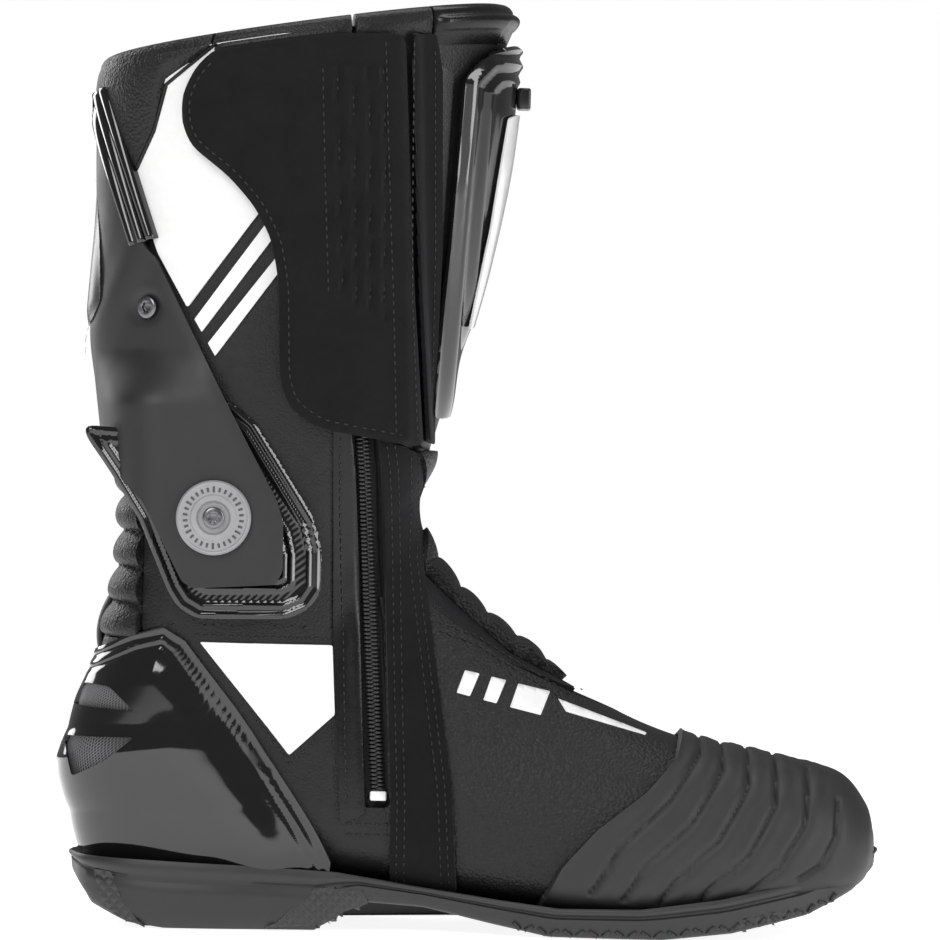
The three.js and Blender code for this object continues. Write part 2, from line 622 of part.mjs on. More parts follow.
function buildPivot(side, word) {
  const face = [[0, 20], [80, 20], [80, surroundFace]];
  const crest = surroundFace + surroundRib;
  for (const r of ribs.toReversed()) {
    face.push([r + ribWidth / 2, surroundFace], [r + ribWidth / 2 - ribSlope, crest]);
    face.push([r - ribWidth / 2 + ribSlope, crest], [r - ribWidth / 2, surroundFace]);
  }
  face.push([0, surroundFace]);
  const behind = rearSeam + gap;
  const rear = cuts.both(outline([[-110, 60], [behind, 60], [behind, 220], [-110, 220]]));
  const rolls = skinSolid(quilt + gap, 0).intersect(rear);
  const slab = turned(face, side).intersect(cuts.both(surroundRegion));
  const plate = slab.subtract(skinSolid(gap, 0)).subtract(rolls);
  place("foot", `ankle_surround_${word}`, plate, "softRubber");

  const rise = surroundFace + gap;
  const bush = [
    [0, rise], [postFlange, rise], [postFlange, armFace - gap], [postRadius, armFace - gap],
    [postRadius, armOuter], [0, armOuter],
  ];
  place("foot", `pivot_bush_${word}`, turned(bush, side), "steel");
  const recess = pivotScrewRadius + recessRoom;
  const capTop = capFace + capHeight;
  const seat = capTop - recessDepth;
  const cap = [
    [0, capFace], [capRadius, capFace], [capRadius, capTop - capEdge], [capRadius - capEdge, capTop],
    [recess, capTop], [recess, seat], [0, seat],
  ];
  place("foot", `pivot_cap_${word}`, turned(cap, side), "steel");
  const head = capTop - gap / 2;
  const screw = [
    [0, seat + gap], [pivotScrewRadius, seat + gap], [pivotScrewRadius - capEdge, head], [0, head],
  ];
  place("foot", `pivot_screw_${word}`, turned(screw, side, 24), "steel");
}

// ---------------------------------------------------------------- calf guard
const backLip = 7; // how far the guard's lower back edge stands off
const spineHeight = 1.8;
const trimHeight = 3.6;
const trimSeam = 8; // half the gap between the two trims, behind the calf
const recessFloor = 1.0; // guard left under its screws
const guardEdge = [
  [-95, 186], [-95, 298], [-64, 298], [-42.5, 252], [-39, 248], [-14.5, 198], [-56.5, 198], [-57, 186],
];
const trimEdge = [[-66, 306], [-61, 306], [-38, 257], [-39, 251], [-41.8, 252.8], [-63.4, 299]];
const spineEdge = [[-95, 278], [-62, 277], [-57, 233], [-59, 226], [-67, 212], [-95, 210]];

function buildGuard() {
  // Low down the guard stands off the leg until its sides are flat and level with the ankle arms.
  const stand = (t, angle) => {
    const s = slice(t);
    const out = Math.abs(Math.sin(angle)) ** (2 / s.below);
    const flat = Math.min(armFace / Math.max(out, 0.1) - s.half - gap, backLip);
    return flat * (1 - THREE.MathUtils.smoothstep(t, 18, 20.5));
  };
  const under = (t, angle) => gap + stand(t, angle);
  const over = (t, angle) => under(t, angle) + guardThickness;
  const guardSkin = lastSolid(over).subtract(lastSolid(under, 12));
  let guard = guardSkin.intersect(cuts.both(outline(guardEdge)));
  const arm = prism(armRegion, armFace, armOuter).subtract(
    turned([[0, 0], [postRadius + postClearance, 0], [postRadius + postClearance, 90], [0, 90]], lateral),
  );
  guard = guard.add(arm).add(arm.mirror([0, 1, 0]));
  const seamGap = prism(outline([[-110, 280], [0, 280], [0, 343], [-110, 343]]), -trimSeam, trimSeam);
  for (const [side, word, sign] of [[cuts.medial, "medial", medial], [cuts.lateral, "lateral", lateral]]) {
    const { point, normal } = onLast(at(-42, 230), sign);
    const line = (lift) => point.clone().addScaledVector(normal, lift);
    const seat = gap + recessFloor;
    guard = guard.subtract(rod(guardRecess, line(seat), line(seat + 5 * guardThickness)));
    const head = rod(guardScrewRadius, line(seat + gap), line(gap + guardThickness), 18);
    place("shaft", `guard_screw_${word}`, head, "steel");
    const trim = onUpper(trimHeight).intersect(side(outline(trimEdge)));
    place("shaft", `guard_trim_${word}`, trim.subtract(seamGap), "glossPlastic");
  }
  place("shaft", "calf_guard", guard, "guardPlastic");
  const raised = (t, angle) => over(t, angle) + gap;
  const spine = lastSolid((t, angle) => raised(t, angle) + spineHeight).subtract(lastSolid(raised, 12));
  place("shaft", "calf_spine", spine.intersect(cuts.both(outline(spineEdge))), "glossPlastic");
}

// ---------------------------------------------------------------- shin plate
function buildShin() {
  const region = outline([[63, 192], [66, 254], [70, 316], [78, 324], [120, 331], [120, 192]]);
  const outer = gap + plateThickness;
  const [screwRadius, screwSeat] = [2.1, gap + 0.4];
  let plate = onUpper(plateThickness).intersect(cuts.both(region));
  for (const [word, sign] of [["medial", medial], ["lateral", lateral]]) {
    const { point, normal } = onLast(at(65.5, 203), sign);
    const line = (lift) => point.clone().addScaledVector(normal, lift);
    plate = plate.subtract(rod(screwRadius + 0.4, line(-outer), line(3 * outer), 16));
    place("shaft", `shin_screw_${word}`, rod(screwRadius, line(screwSeat), line(outer), 16), "steel");
  }
  place("shaft", "shin_plate", plate, "glossPlastic");
  const insertRegion = cuts.both(outline([[80, 304], [120, 306], [120, 226], [72, 222], [76, 262]]));
  const insert = band(outer + gap, outer + gap + insertThickness).intersect(insertRegion);
  place("shaft", "shin_insert", insert, "whitePlastic");
  const clipRegion = prism(outline([[80, 307], [120, 309], [120, 317], [84, 316]]), -6, 6);
  const clip = band(outer + gap, outer + gap + clipThickness).intersect(clipRegion);
  place("shaft", "shin_clip", clip, "softRubber");
}

// ---------------------------------------------------------------- zip
const sliderTop = at(31.5, 320);
const sliderLow = at(36.4, 197);
const tapeThickness = 0.9;
const chainInset = 0.2; // the teeth lie this far below the leather

function buildZip() {
  const between = zipLine.slice(1, -1);
  const alongZip = (line, width) => cuts.medial(strip(line, width / 2, width / 2));
  const tape = alongZip([[31, 319], ...between, [44.5, 48]], zipTapeWidth);
  const tapeSkin = band(insideLeather - tapeThickness, insideLeather);
  place("shaft", "zip_tape", tapeSkin.intersect(tape), "zipTape");
  const teeth = alongZip([[31, 323], ...between, [44.5, 53]], zipTeeth);
  place("shaft", "zip_chain", band(-leather, -chainInset).intersect(teeth), "zipTeeth");
  const stop = alongZip([[44.7, 52.4], [44.9, 48.5]], zipTeeth);
  place("foot", "zip_stop", band(-leather, 2 * chainInset).intersect(stop), "whitePlastic");

  // The slider and its pull stand in a frame of their own: X across, Y down the zip, Z away from the leg.
  const top = onLast(sliderTop, medial);
  const low = onLast(sliderLow, medial);
  const down = low.point.clone().sub(top.point).normalize();
  const away = top.normal.clone().addScaledVector(down, -top.normal.dot(down)).normalize();
  const frame = new THREE.Matrix4().makeBasis(down.clone().cross(away), down, away).setPosition(top.point);
  const slab = (width, length, thick, from, lift, radius) => {
    const shape = new THREE.Shape()
      .absarc(0, radius, radius, Math.PI, 2 * Math.PI)
      .absarc(0, length - radius, radius, 0, Math.PI);
    const block = new THREE.ExtrudeGeometry(shape, { depth: thick, bevelEnabled: false, curveSegments: 6 });
    return solid(block.scale(width / 2 / radius, 1, 1).translate(0, from, lift).applyMatrix4(frame));
  };
  const slider = slab(zipSlot + 1, sliderLength, sliderThickness, 0, sliderLift, 3);
  place("slider", "zip_slider", slider, "steel");
  const pullLift = sliderLift + sliderThickness + gap;
  place("pull", "zip_pull", slab(pullWidth, pullLength, pullThickness, 3, pullLift, 3), "steel");
}

// ---------------------------------------------------------------- closure flap
const flapEdge = [
  [-17, 325], [-24, 318], [-28.5, 308], [-28.5, 297.5], [-25, 289], [-12, 278], [-3, 267], [3, 254.5],
  [5.5, 238], [6, 204], [9, 194], [19, 186], [40, 181.5], [54, 178], [51, 235], [47, 331],
];
const flapLow = 5.2; // clear of the zip's slider and pull
const flapThickness = 2.0;
const hookThickness = 0.8;

function buildFlap() {
  const flap = band(flapLow, flapLow + flapThickness).intersect(cuts.medial(outline(flapEdge)));
  place("closure", "closure_flap", flap, "suede");
  const grip = outline([[-22, 311], [-22, 296], [-6, 280], [10, 266], [14, 266], [14, 312]]);
  const hook = band(flapLow - gap - hookThickness, flapLow - gap).intersect(cuts.medial(grip));
  place("closure", "hook_patch", hook, "zipTape");
  const loop = band(gap + panel + gap, flapLow - 2 * gap - hookThickness).intersect(cuts.medial(grip));
  place("shaft", "loop_patch", loop, "zipTape");
  const base = outline([[57, 182], [54.5, 235], [51, 317], [60, 318], [62, 254], [61, 196], [62, 182]]);
  place("shaft", "flap_base", band(gap, flapLow + 0.6).intersect(cuts.medial(base)), "suede");
}

buildSole();
buildFloor();
buildUpper();
buildAnkle();
buildPanels();
buildArmour();
buildPivot(medial, "medial");
buildPivot(lateral, "lateral");
buildGuard();
buildShin();
buildZip();
buildFlap();

export default boot;
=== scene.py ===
import math

import bmesh
import bpy
import numpy as np
from mathutils import Matrix, Vector


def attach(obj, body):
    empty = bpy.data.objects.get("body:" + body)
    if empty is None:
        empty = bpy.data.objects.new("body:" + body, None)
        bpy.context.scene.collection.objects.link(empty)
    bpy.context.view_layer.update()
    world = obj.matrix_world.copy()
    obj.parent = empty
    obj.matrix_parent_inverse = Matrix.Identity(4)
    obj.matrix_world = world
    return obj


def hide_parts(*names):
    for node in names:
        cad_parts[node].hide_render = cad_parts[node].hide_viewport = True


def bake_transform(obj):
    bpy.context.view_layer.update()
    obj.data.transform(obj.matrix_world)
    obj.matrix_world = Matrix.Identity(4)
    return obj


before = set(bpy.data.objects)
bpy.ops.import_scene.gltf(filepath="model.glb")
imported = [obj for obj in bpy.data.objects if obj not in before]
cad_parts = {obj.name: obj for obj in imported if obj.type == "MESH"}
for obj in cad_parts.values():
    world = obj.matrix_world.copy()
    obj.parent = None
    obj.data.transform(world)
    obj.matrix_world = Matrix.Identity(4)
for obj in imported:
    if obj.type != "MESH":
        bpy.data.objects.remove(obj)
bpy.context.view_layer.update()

MM = 0.001

# ---------------------------------------------------------------------------
# Studio
# A pale floor under a white backdrop, four soft boxes and a long lens
# level with the middle of the boot, looking square at its inner side.
# ---------------------------------------------------------------------------
floor_mesh = bmesh.new()
bmesh.ops.create_grid(floor_mesh, x_segments=1, y_segments=1, size=6)
bmesh.ops.translate(floor_mesh, verts=floor_mesh.verts, vec=(0, 0, -0.0004))
floor_data = bpy.data.meshes.new("studio_floor")
floor_mesh.to_mesh(floor_data)
floor_mesh.free()
floor = bpy.data.objects.new("studio_floor", floor_data)
bpy.context.scene.collection.objects.link(floor)
pale = bpy.data.materials.new("pale floor")
pale.use_nodes = True
pale.node_tree.nodes["Principled BSDF"].inputs["Base Color"].default_value = (0.86, 0.86, 0.86, 1)
pale.node_tree.nodes["Principled BSDF"].inputs["Roughness"].default_value = 0.9
pale.node_tree.nodes["Principled BSDF"].inputs["Emission Color"].default_value = (1, 1, 1, 1)
pale.node_tree.nodes["Principled BSDF"].inputs["Emission Strength"].default_value = 0.86
floor_data.materials.append(pale)

world = bpy.data.worlds.new("studio")
bpy.context.scene.world = world
world.use_nodes = True
backdrop = world.node_tree
seen = backdrop.nodes.new("ShaderNodeLightPath")
brightness = backdrop.nodes.new("ShaderNodeMapRange")
brightness.inputs["To Min"].default_value = 0.16
brightness.inputs["To Max"].default_value = 1.0
backdrop.links.new(seen.outputs["Is Camera Ray"], brightness.inputs["Value"])
backdrop.links.new(brightness.outputs["Result"], backdrop.nodes["Background"].inputs["Strength"])
backdrop.nodes["Background"].inputs["Color"].default_value = (1, 1, 1, 1)
bpy.context.scene.view_settings.view_transform = "Standard"


def softbox(name, place, size, power, look_at=(0.07, 0, 0.15)):
    data = bpy.data.lights.new(name, "AREA")
    data.shape = "RECTANGLE"
    data.size, data.size_y = size
    data.energy = power
    lamp = bpy.data.objects.new(name, data)
    lamp.location = place
    lamp.rotation_euler = (Vector(look_at) - Vector(place)).to_track_quat("-Z", "Y").to_euler()
    bpy.context.scene.collection.objects.link(lamp)


softbox("key_softbox", (-0.35, -0.95, 0.85), (0.5, 0.7), 7.5)
softbox("side_softbox", (0.95, -0.6, 0.45), (0.3, 0.9), 5)
softbox("back_softbox", (-0.7, 0.8, 0.6), (0.5, 0.8), 5)
softbox("top_softbox", (0.1, 0.1, 1.1), (0.7, 0.5), 4)

camera_data = bpy.data.cameras.new("camera")
camera = bpy.data.objects.new("camera", camera_data)
bpy.context.scene.collection.objects.link(camera)
camera.location = (0.0766, -1.9, 0.1717)
camera.rotation_euler = (math.radians(90), math.radians(-1.0), 0)
camera_data.sensor_width = 36
camera_data.lens = 36 * 1.9 / 0.3551
bpy.context.scene.camera = camera

# ---------------------------------------------------------------------------
# Foot upper
# Two hides of black leather, pebbled over the toes and instep and smooth round
# the heel, lasted over a left foot form and stitched together.
# ---------------------------------------------------------------------------
# Slices of the foot form: bottom or back point, top or front point, half width, sideways shift,
# height of the widest point, and squareness below and above it. Millimetres.
LAST = np.array([
    [227, 31, 227, 37, 9, -9, 0.5, 2.4, 2.4],
    [224, 23, 225, 47, 23, -8, 0.42, 2.6, 2.2],
    [215, 18, 216, 58, 34, -7, 0.36, 3.0, 2.2],
    [196, 13, 196, 63, 43, -4, 0.32, 3.4, 2.3],
    [171, 10, 169, 69, 48, -1, 0.3, 3.6, 2.3],
    [141, 8, 142, 78, 51, 1, 0.28, 3.8, 2.2],
    [111, 9, 119, 90, 48, 3, 0.26, 3.8, 2.1],
    [81, 12, 98, 104, 43, 3, 0.26, 3.6, 2.0],
    [51, 16, 81, 117, 40, 2, 0.28, 3.4, 2.0],
    [21, 19, 69, 129, 38.5, 1, 0.3, 3.2, 2.0],
    [-9, 20, 62, 139, 38, 0, 0.34, 3.0, 2.1],
    [-38, 22, 58, 147, 37.5, 0, 0.42, 2.6, 2.2],
    [-58, 31, 56.5, 154, 38, 0, 0.5, 2.3, 2.3],
    [-66, 48, 56.5, 160, 39, 0, 0.52, 2.3, 2.3],
    [-67, 74, 57.5, 165, 39.5, 0, 0.52, 2.4, 2.4],
    [-62, 100, 59, 170, 40.5, 0, 0.5, 2.5, 2.4],
    [-56.5, 124, 60.5, 176, 41.5, 0, 0.5, 2.6, 2.5],
    [-53.5, 150, 62, 182, 42.5, 0, 0.5, 2.6, 2.5],
    [-55, 177, 65, 192, 44, 0, 0.5, 2.5, 2.4],
    [-58.5, 207, 70, 217, 46.5, 0, 0.5, 2.3, 2.3],
    [-61.5, 240, 77, 247, 48.2, 0, 0.5, 2.2, 2.2],
    [-63, 274, 83, 281, 50.6, 0, 0.5, 2.2, 2.2],
    [-63.5, 304, 86, 312, 53.4, 0, 0.5, 2.2, 2.2],
    [-64, 320, 88.5, 343, 56, 0, 0.5, 2.2, 2.2],
])
COLLAR = len(LAST) - 1
MEDIAL, LATERAL = -1, 1


def slices(t):
    """Every measure of the foot form at places t, on a smooth curve through its slices."""
    t = np.clip(np.asarray(t, float), 0, COLLAR)
    i = np.minimum(t.astype(int), COLLAR - 1)
    f = (t - i)[:, None]
    a, b, c, d = (LAST[np.clip(i + k, 0, COLLAR)] for k in (-1, 0, 1, 2))
    return 0.5 * (2 * b + (c - a) * f + (2 * a - 5 * b + 4 * c - d) * f**2 + (3 * b - a - 3 * c + d) * f**3)


FINE_T = np.linspace(0, COLLAR, 40 * COLLAR + 1)
FINE = slices(FINE_T)


def on_form(t, a, lift=0.0):
    """Points a lift outside the foot form. a is 0 at the back or sole, 1 at the front,
    and minus on the inner side."""
    s = slices(t)
    angle = np.pi * np.asarray(a, float)
    c, n = np.cos(angle), np.sin(angle)
    power = np.where(c > 0, s[:, 7], s[:, 8])
    along = np.sign(c) * np.abs(c) ** (2 / power)
    out = np.sign(n) * np.abs(n) ** (2 / power)
    spine = s[:, 2:4] - s[:, 0:2]
    span = np.linalg.norm(spine, axis=1)
    reach = np.where(c > 0, s[:, 6], 1 - s[:, 6]) * span + lift
    p = s[:, 0:2] + spine * s[:, 6:7] - spine * (along * reach / span)[:, None]
    x = p[:, 0] + lift * np.maximum(0, 1 - np.asarray(t) / 3)
    return np.stack([x, s[:, 5] + out * (s[:, 4] + lift), p[:, 1]], axis=1)


def from_side(points):
    """Where side-view points (x, z) lie on the form, as (t, a) with a from 0 to 1.
    Points outside it go to its edge."""
    points = np.asarray(points, float)
    spine = FINE[:, 2:4] - FINE[:, 0:2]
    rel = points[:, None, :] - FINE[None, :, 0:2]
    cross = spine[None, :, 0] * rel[:, :, 1] - spine[None, :, 1] * rel[:, :, 0]
    first = np.argmax(cross <= 0, axis=1)
    first[~(cross <= 0).any(axis=1)] = len(FINE_T) - 1
    first = np.maximum(first, 1)
    rows = np.arange(len(points))
    before, after = cross[rows, first - 1], cross[rows, first]
    share = np.clip(before / np.where(np.abs(before - after) < 1e-9, 1e-9, before - after), 0, 1)
    t = FINE_T[first - 1] + share * (FINE_T[first] - FINE_T[first - 1])
    s = slices(t)
    spine = s[:, 2:4] - s[:, 0:2]
    span = np.linalg.norm(spine, axis=1)
    d = ((points - s[:, 0:2]) * spine).sum(axis=1) / span - s[:, 6] * span
    reach = np.where(d < 0, s[:, 6], 1 - s[:, 6]) * span
    power = np.where(d < 0, s[:, 7], s[:, 8])
    c = -np.sign(d) * np.minimum(1, np.abs(d) / reach) ** (power / 2)
    return t, np.arccos(np.clip(c, -1, 1)) / np.pi


def ahead(low, high, step=12):
    """Side-view points just in front of the form's front edge, from one height to another."""
    z = np.linspace(low, high, max(2, int(abs(high - low) / step) + 1))
    x = np.interp(z, LAST[5:, 3], LAST[5:, 2])
    return list(zip(x + 0.9, z))


def rounded(corners, radius):
    """An outline's corners turned into short arcs."""
    points = [Vector(p) for p in corners]
    result = []
    for i, p in enumerate(points):
        before, after = points[i - 1], points[(i + 1) % len(points)]
        a = p.lerp(before, min(radius, (before - p).length * 0.45) / (before - p).length)
        b = p.lerp(after, min(radius, (after - p).length * 0.45) / (after - p).length)
        result += [a.lerp(p, s).lerp(p.lerp(b, s), s) for s in (0, 0.25, 0.5, 0.75, 1)]
    return result


def stepped(points, step, closed=True):
    """A polyline cut into pieces no longer than step."""
    points = [Vector(p) for p in points]
    result = []
    for i in range(len(points) if closed else len(points) - 1):
        a, b = points[i], points[(i + 1) % len(points)]
        parts = max(1, math.ceil((b - a).length / step))
        result += [a.lerp(b, k / parts) for k in range(parts)]
    if not closed:
        result.append(points[-1])
    return result


def line_distance(x, z, line):
    """Distance in the side view from points to a polyline."""
    best = np.full(len(x), 1e9)
    for (ax, az), (bx, bz) in zip(line[:-1], line[1:]):
        dx, dz = bx - ax, bz - az
        s = np.clip(((x - ax) * dx + (z - az) * dz) / (dx * dx + dz * dz), 0, 1)
        best = np.minimum(best, np.hypot(x - ax - s * dx, z - az - s * dz))
    return best


def swell(distance, width):
    """1 on a line, falling smoothly to 0 at width from it."""
    s = np.clip(1 - np.abs(distance) / width, 0, 1)
    return s * s * (3 - 2 * s)


ACROSS, ALONG = 70, 15  # grid lines round half the form, and for each of its slices


def new_piece(name, bm, material, body=None, replaced=()):
    """Finishes a mesh as a piece of the boot, smooth shaded, with its material and body, and hides the CAD
    parts that it replaces.
    """
    data = bpy.data.meshes.new(name)
    bm.to_mesh(data)
    bm.free()
    data.shade_smooth()
    piece = bpy.data.objects.new(name, data)
    bpy.context.scene.collection.objects.link(piece)
    data.materials.append(material)
    if replaced:
        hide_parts(*([replaced] if isinstance(replaced, str) else replaced))
    if body:
        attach(piece, body)
    return piece


def across_ankle(piece):
    """Bakes the placement of a soft piece across the ankle into its mesh."""
    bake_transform(piece)
    return piece


def bisected(bm, axis, low, high, step):
    normal = (1, 0, 0) if axis == 0 else (0, 1, 0)
    for k in range(math.floor(low / step) + 1, math.ceil(high / step)):
        plane = (k * step, 0, 0) if axis == 0 else (0, k * step, 0)
        bmesh.ops.bisect_plane(
            bm, geom=bm.verts[:] + bm.edges[:] + bm.faces[:], dist=1e-5, plane_co=plane, plane_no=normal
        )


def skin(outline, wrap, lift=0.0, detail=1.0, radius=3.0, place=on_form):
    """A sheet lying on the foot form inside a side-view outline. wrap is 'medial', 'lateral',
    or 'back', 'front' or 'ring' where it goes round to the other side. lift is a number or a
    function of x, z, t and a."""
    corners = stepped(rounded(outline, radius) if radius else outline, 1.6 / detail)
    t, a = from_side(corners)
    bm = bmesh.new()
    flat = []
    for ti, ai in zip(t, a):
        p = Vector((ai * ACROSS, ti * ALONG, 0))
        if not flat or (p - flat[-1]).length > 0.02:
            flat.append(p)
    if (flat[0] - flat[-1]).length < 0.02:
        flat.pop()
    bm.faces.new([bm.verts.new(p) for p in flat])
    xs, ys = [p.x for p in flat], [p.y for p in flat]
    bisected(bm, 1, min(ys), max(ys), 1 / detail)
    bisected(bm, 0, min(xs), max(xs), 1 / detail)
    if wrap == "medial":
        bmesh.ops.scale(bm, vec=(-1, 1, 1), verts=bm.verts)
    if wrap in ("back", "front", "ring"):
        middle = ACROSS if wrap == "front" else 0
        copy = bmesh.ops.duplicate(bm, geom=bm.verts[:] + bm.edges[:] + bm.faces[:])["geom"]
        turned = [v for v in copy if isinstance(v, bmesh.types.BMVert)]
        for v in turned:
            v.co.x = 2 * middle - v.co.x
        bmesh.ops.reverse_faces(bm, faces=[f for f in copy if isinstance(f, bmesh.types.BMFace)])
        bmesh.ops.remove_doubles(bm, verts=bm.verts, dist=0.01)
    uv = np.array([v.co[:2] for v in bm.verts])
    t, a = uv[:, 1] / ALONG, uv[:, 0] / ACROSS
    base = on_form(t, a)
    height = lift(base[:, 0], base[:, 2], t, a) if callable(lift) else np.full(len(t), float(lift))
    points = place(t, a, height)
    for v, p in zip(bm.verts, points * MM):
        v.co = p
    bmesh.ops.remove_doubles(bm, verts=bm.verts, dist=2e-5)
    bmesh.ops.dissolve_degenerate(bm, edges=bm.edges, dist=1e-5)
    bm.normal_update()
    side_only = sum(
        f.normal.y * (1 if f.calc_center_median().y > 0 else -1) * f.calc_area() for f in bm.faces
    )
    if side_only < 0:
        bmesh.ops.reverse_faces(bm, faces=bm.faces)
    return bm


def thicken(piece, thickness, rim=0.4, offset=-1.0):
    """Gives a sheet its thickness, measured in from its outer face, and softens its rim."""
    wall = piece.modifiers.new("thickness", "SOLIDIFY")
    wall.thickness = thickness * MM
    wall.offset = offset
    if rim:
        edge = piece.modifiers.new("rim", "BEVEL")
        edge.width = rim * MM
        edge.segments = 2
        edge.limit_method = "ANGLE"
        edge.angle_limit = math.radians(50)
        shade = piece.modifiers.new("shading", "WEIGHTED_NORMAL")
        shade.keep_sharp = True
    return piece


def group(name, inputs, outputs):
    """An empty shader node group with named number inputs and named outputs."""
    tree = bpy.data.node_groups.new(name, "ShaderNodeTree")
    for label, value in inputs.items():
        socket = tree.interface.new_socket(label, in_out="INPUT", socket_type="NodeSocketFloat")
        socket.default_value = value
    for label, kind in outputs.items():
        tree.interface.new_socket(label, in_out="OUTPUT", socket_type=kind)
    source, result = tree.nodes.new("NodeGroupInput"), tree.nodes.new("NodeGroupOutput")
    return tree, source, result


def node(tree, kind, **values):
    made = tree.nodes.new(kind)
    for key, value in values.items():
        if key in made.inputs.keys():
            made.inputs[key].default_value = value
        else:
            setattr(made, key, value)
    return made


def grain_group():
    """Leather's pebbles and fine creases: a height, a tone from 0 to 1, and a roughness shift."""
    tree, source, result = group(
        "leather grain",
        {"Pebble Scale": 900.0, "Pebble": 1.0, "Crease Scale": 260.0, "Crease": 0.3},
        {"Height": "NodeSocketFloat", "Tone": "NodeSocketFloat"},
    )
    where = node(tree, "ShaderNodeTexCoord")
    bend = node(tree, "ShaderNodeTexNoise", Scale=350.0, Detail=2.0)
    shift = node(tree, "ShaderNodeVectorMath", operation="MULTIPLY_ADD")
    shift.inputs[1].default_value = (0.0012, 0.0012, 0.0012)
    cells = node(tree, "ShaderNodeTexVoronoi", feature="SMOOTH_F1", Smoothness=0.35)
    creases = node(tree, "ShaderNodeTexNoise", Detail=5.0, Roughness=0.6)
    pebble = node(tree, "ShaderNodeMath", operation="MULTIPLY")
    crease = node(tree, "ShaderNodeMath", operation="MULTIPLY")
    both = node(tree, "ShaderNodeMath", operation="SUBTRACT")
    tone = node(tree, "ShaderNodeMapRange")
    tone.inputs["From Min"].default_value, tone.inputs["From Max"].default_value = 0.15, 0.85
    link = tree.links.new
    link(where.outputs["Object"], bend.inputs["Vector"])
    link(bend.outputs["Color"], shift.inputs[0])
    link(where.outputs["Object"], shift.inputs[2])
    link(shift.outputs[0], cells.inputs["Vector"])
    link(source.outputs["Pebble Scale"], cells.inputs["Scale"])
    link(where.outputs["Object"], creases.inputs["Vector"])
    link(source.outputs["Crease Scale"], creases.inputs["Scale"])
    link(cells.outputs["Distance"], pebble.inputs[0])
    link(source.outputs["Pebble"], pebble.inputs[1])
    link(creases.outputs["Fac"], crease.inputs[0])
    link(source.outputs["Crease"], crease.inputs[1])
    link(crease.outputs[0], both.inputs[0])
    link(pebble.outputs[0], both.inputs[1])
    link(both.outputs[0], result.inputs["Height"])
    link(creases.outputs["Fac"], tone.inputs["Value"])
    link(tone.outputs["Result"], result.inputs["Tone"])
    return tree


LEATHER_GRAIN = grain_group()
HIDE_SPECULAR = 0.28  # a dry hide mirrors less than a moulding


def leather(name, color, worn, rough, pebble_scale, pebble, crease, depth):
    """A leather: its colour runs to 'worn' and its roughness spreads with the hide's own grain."""
    made = bpy.data.materials.new(name)
    made.use_nodes = True
    tree = made.node_tree
    shader = tree.nodes["Principled BSDF"]
    hide = node(tree, "ShaderNodeGroup")
    hide.node_tree = LEATHER_GRAIN
    hide.inputs["Pebble Scale"].default_value = pebble_scale
    hide.inputs["Pebble"].default_value = pebble
    hide.inputs["Crease"].default_value = crease
    tint = node(tree, "ShaderNodeMix", data_type="RGBA")
    tint.inputs["A"].default_value = (*color, 1)
    tint.inputs["B"].default_value = (*worn, 1)
    gloss = node(tree, "ShaderNodeMapRange")
    gloss.inputs["To Min"].default_value = rough[0]
    gloss.inputs["To Max"].default_value = rough[1]
    bump = node(tree, "ShaderNodeBump", Strength=0.7, Distance=depth * MM)
    link = tree.links.new
    link(hide.outputs["Tone"], tint.inputs["Factor"])
    link(hide.outputs["Tone"], gloss.inputs["Value"])
    link(tint.outputs["Result"], shader.inputs["Base Color"])
    link(gloss.outputs["Result"], shader.inputs["Roughness"])
    link(hide.outputs["Height"], bump.inputs["Height"])
    link(bump.outputs["Normal"], shader.inputs["Normal"])
    shader.inputs["Specular IOR Level"].default_value = HIDE_SPECULAR
    return made


pebbled = leather(
    "pebbled black leather", (0.011, 0.011, 0.012), (0.017, 0.017, 0.018), (0.40, 0.55), 820, 1.0, 0.4,
    0.55
)
smooth = leather(
    "smooth black leather", (0.008, 0.008, 0.009), (0.014, 0.014, 0.015), (0.36, 0.48), 1200, 0.7, 0.4,
    0.28
)
glossy = leather(
    "polished black leather", (0.006, 0.006, 0.006), (0.010, 0.010, 0.010), (0.22, 0.32), 1400, 0.4, 0.5,
    0.1
)
white_hide = leather(
    "white leather", (0.80, 0.80, 0.80), (0.74, 0.74, 0.73), (0.42, 0.5), 1200, 0.4, 0.3, 0.08
)

FOOT_TOP = [
    (138.5, 80), (118, 88), (92, 100), (66, 118), (42, 124), (28, 113), (-34, 113), (-52, 107), (-95, 107),
]
foot_skin = [*FOOT_TOP, (-95, -30), (300, -30), (300, 79)]
ZIP = [(31, 331), (34, 260), (36.5, 195), (38.5, 170), (41, 115), (44.5, 48)]


def zip_at(z):
    """The zip line's x in the side view, at a height."""
    heights = [p[1] for p in ZIP][::-1]
    return float(np.interp(z, heights, [p[0] for p in ZIP][::-1]))


foot_lateral = new_piece(
    "foot_leather_lateral", skin(foot_skin, "lateral"), pebbled, "foot", "foot_upper"
)
thicken(foot_lateral, 2.4)
vamp = [
    (138.5, 80), (118, 88), (92, 100), (66, 118), (44, 124), (45.5, 114), (49, 47), (47, 46), (47, -30),
    (300, -30), (300, 79),
]
thicken(
    new_piece(
        "foot_leather_vamp", skin(vamp, "medial", radius=0.8), pebbled, "foot", "foot_upper",
    ),
    2.4
)
quarter = [
    (36, 117), (28, 113), (-34, 113), (-52, 107), (-95, 107), (-95, -30), (47, -30), (47, 46), (40, 46)
]
thicken(
    new_piece(
        "foot_leather_quarter", skin(quarter, "medial", radius=0.8), smooth, "foot", "foot_upper",
    ),
    2.4
)

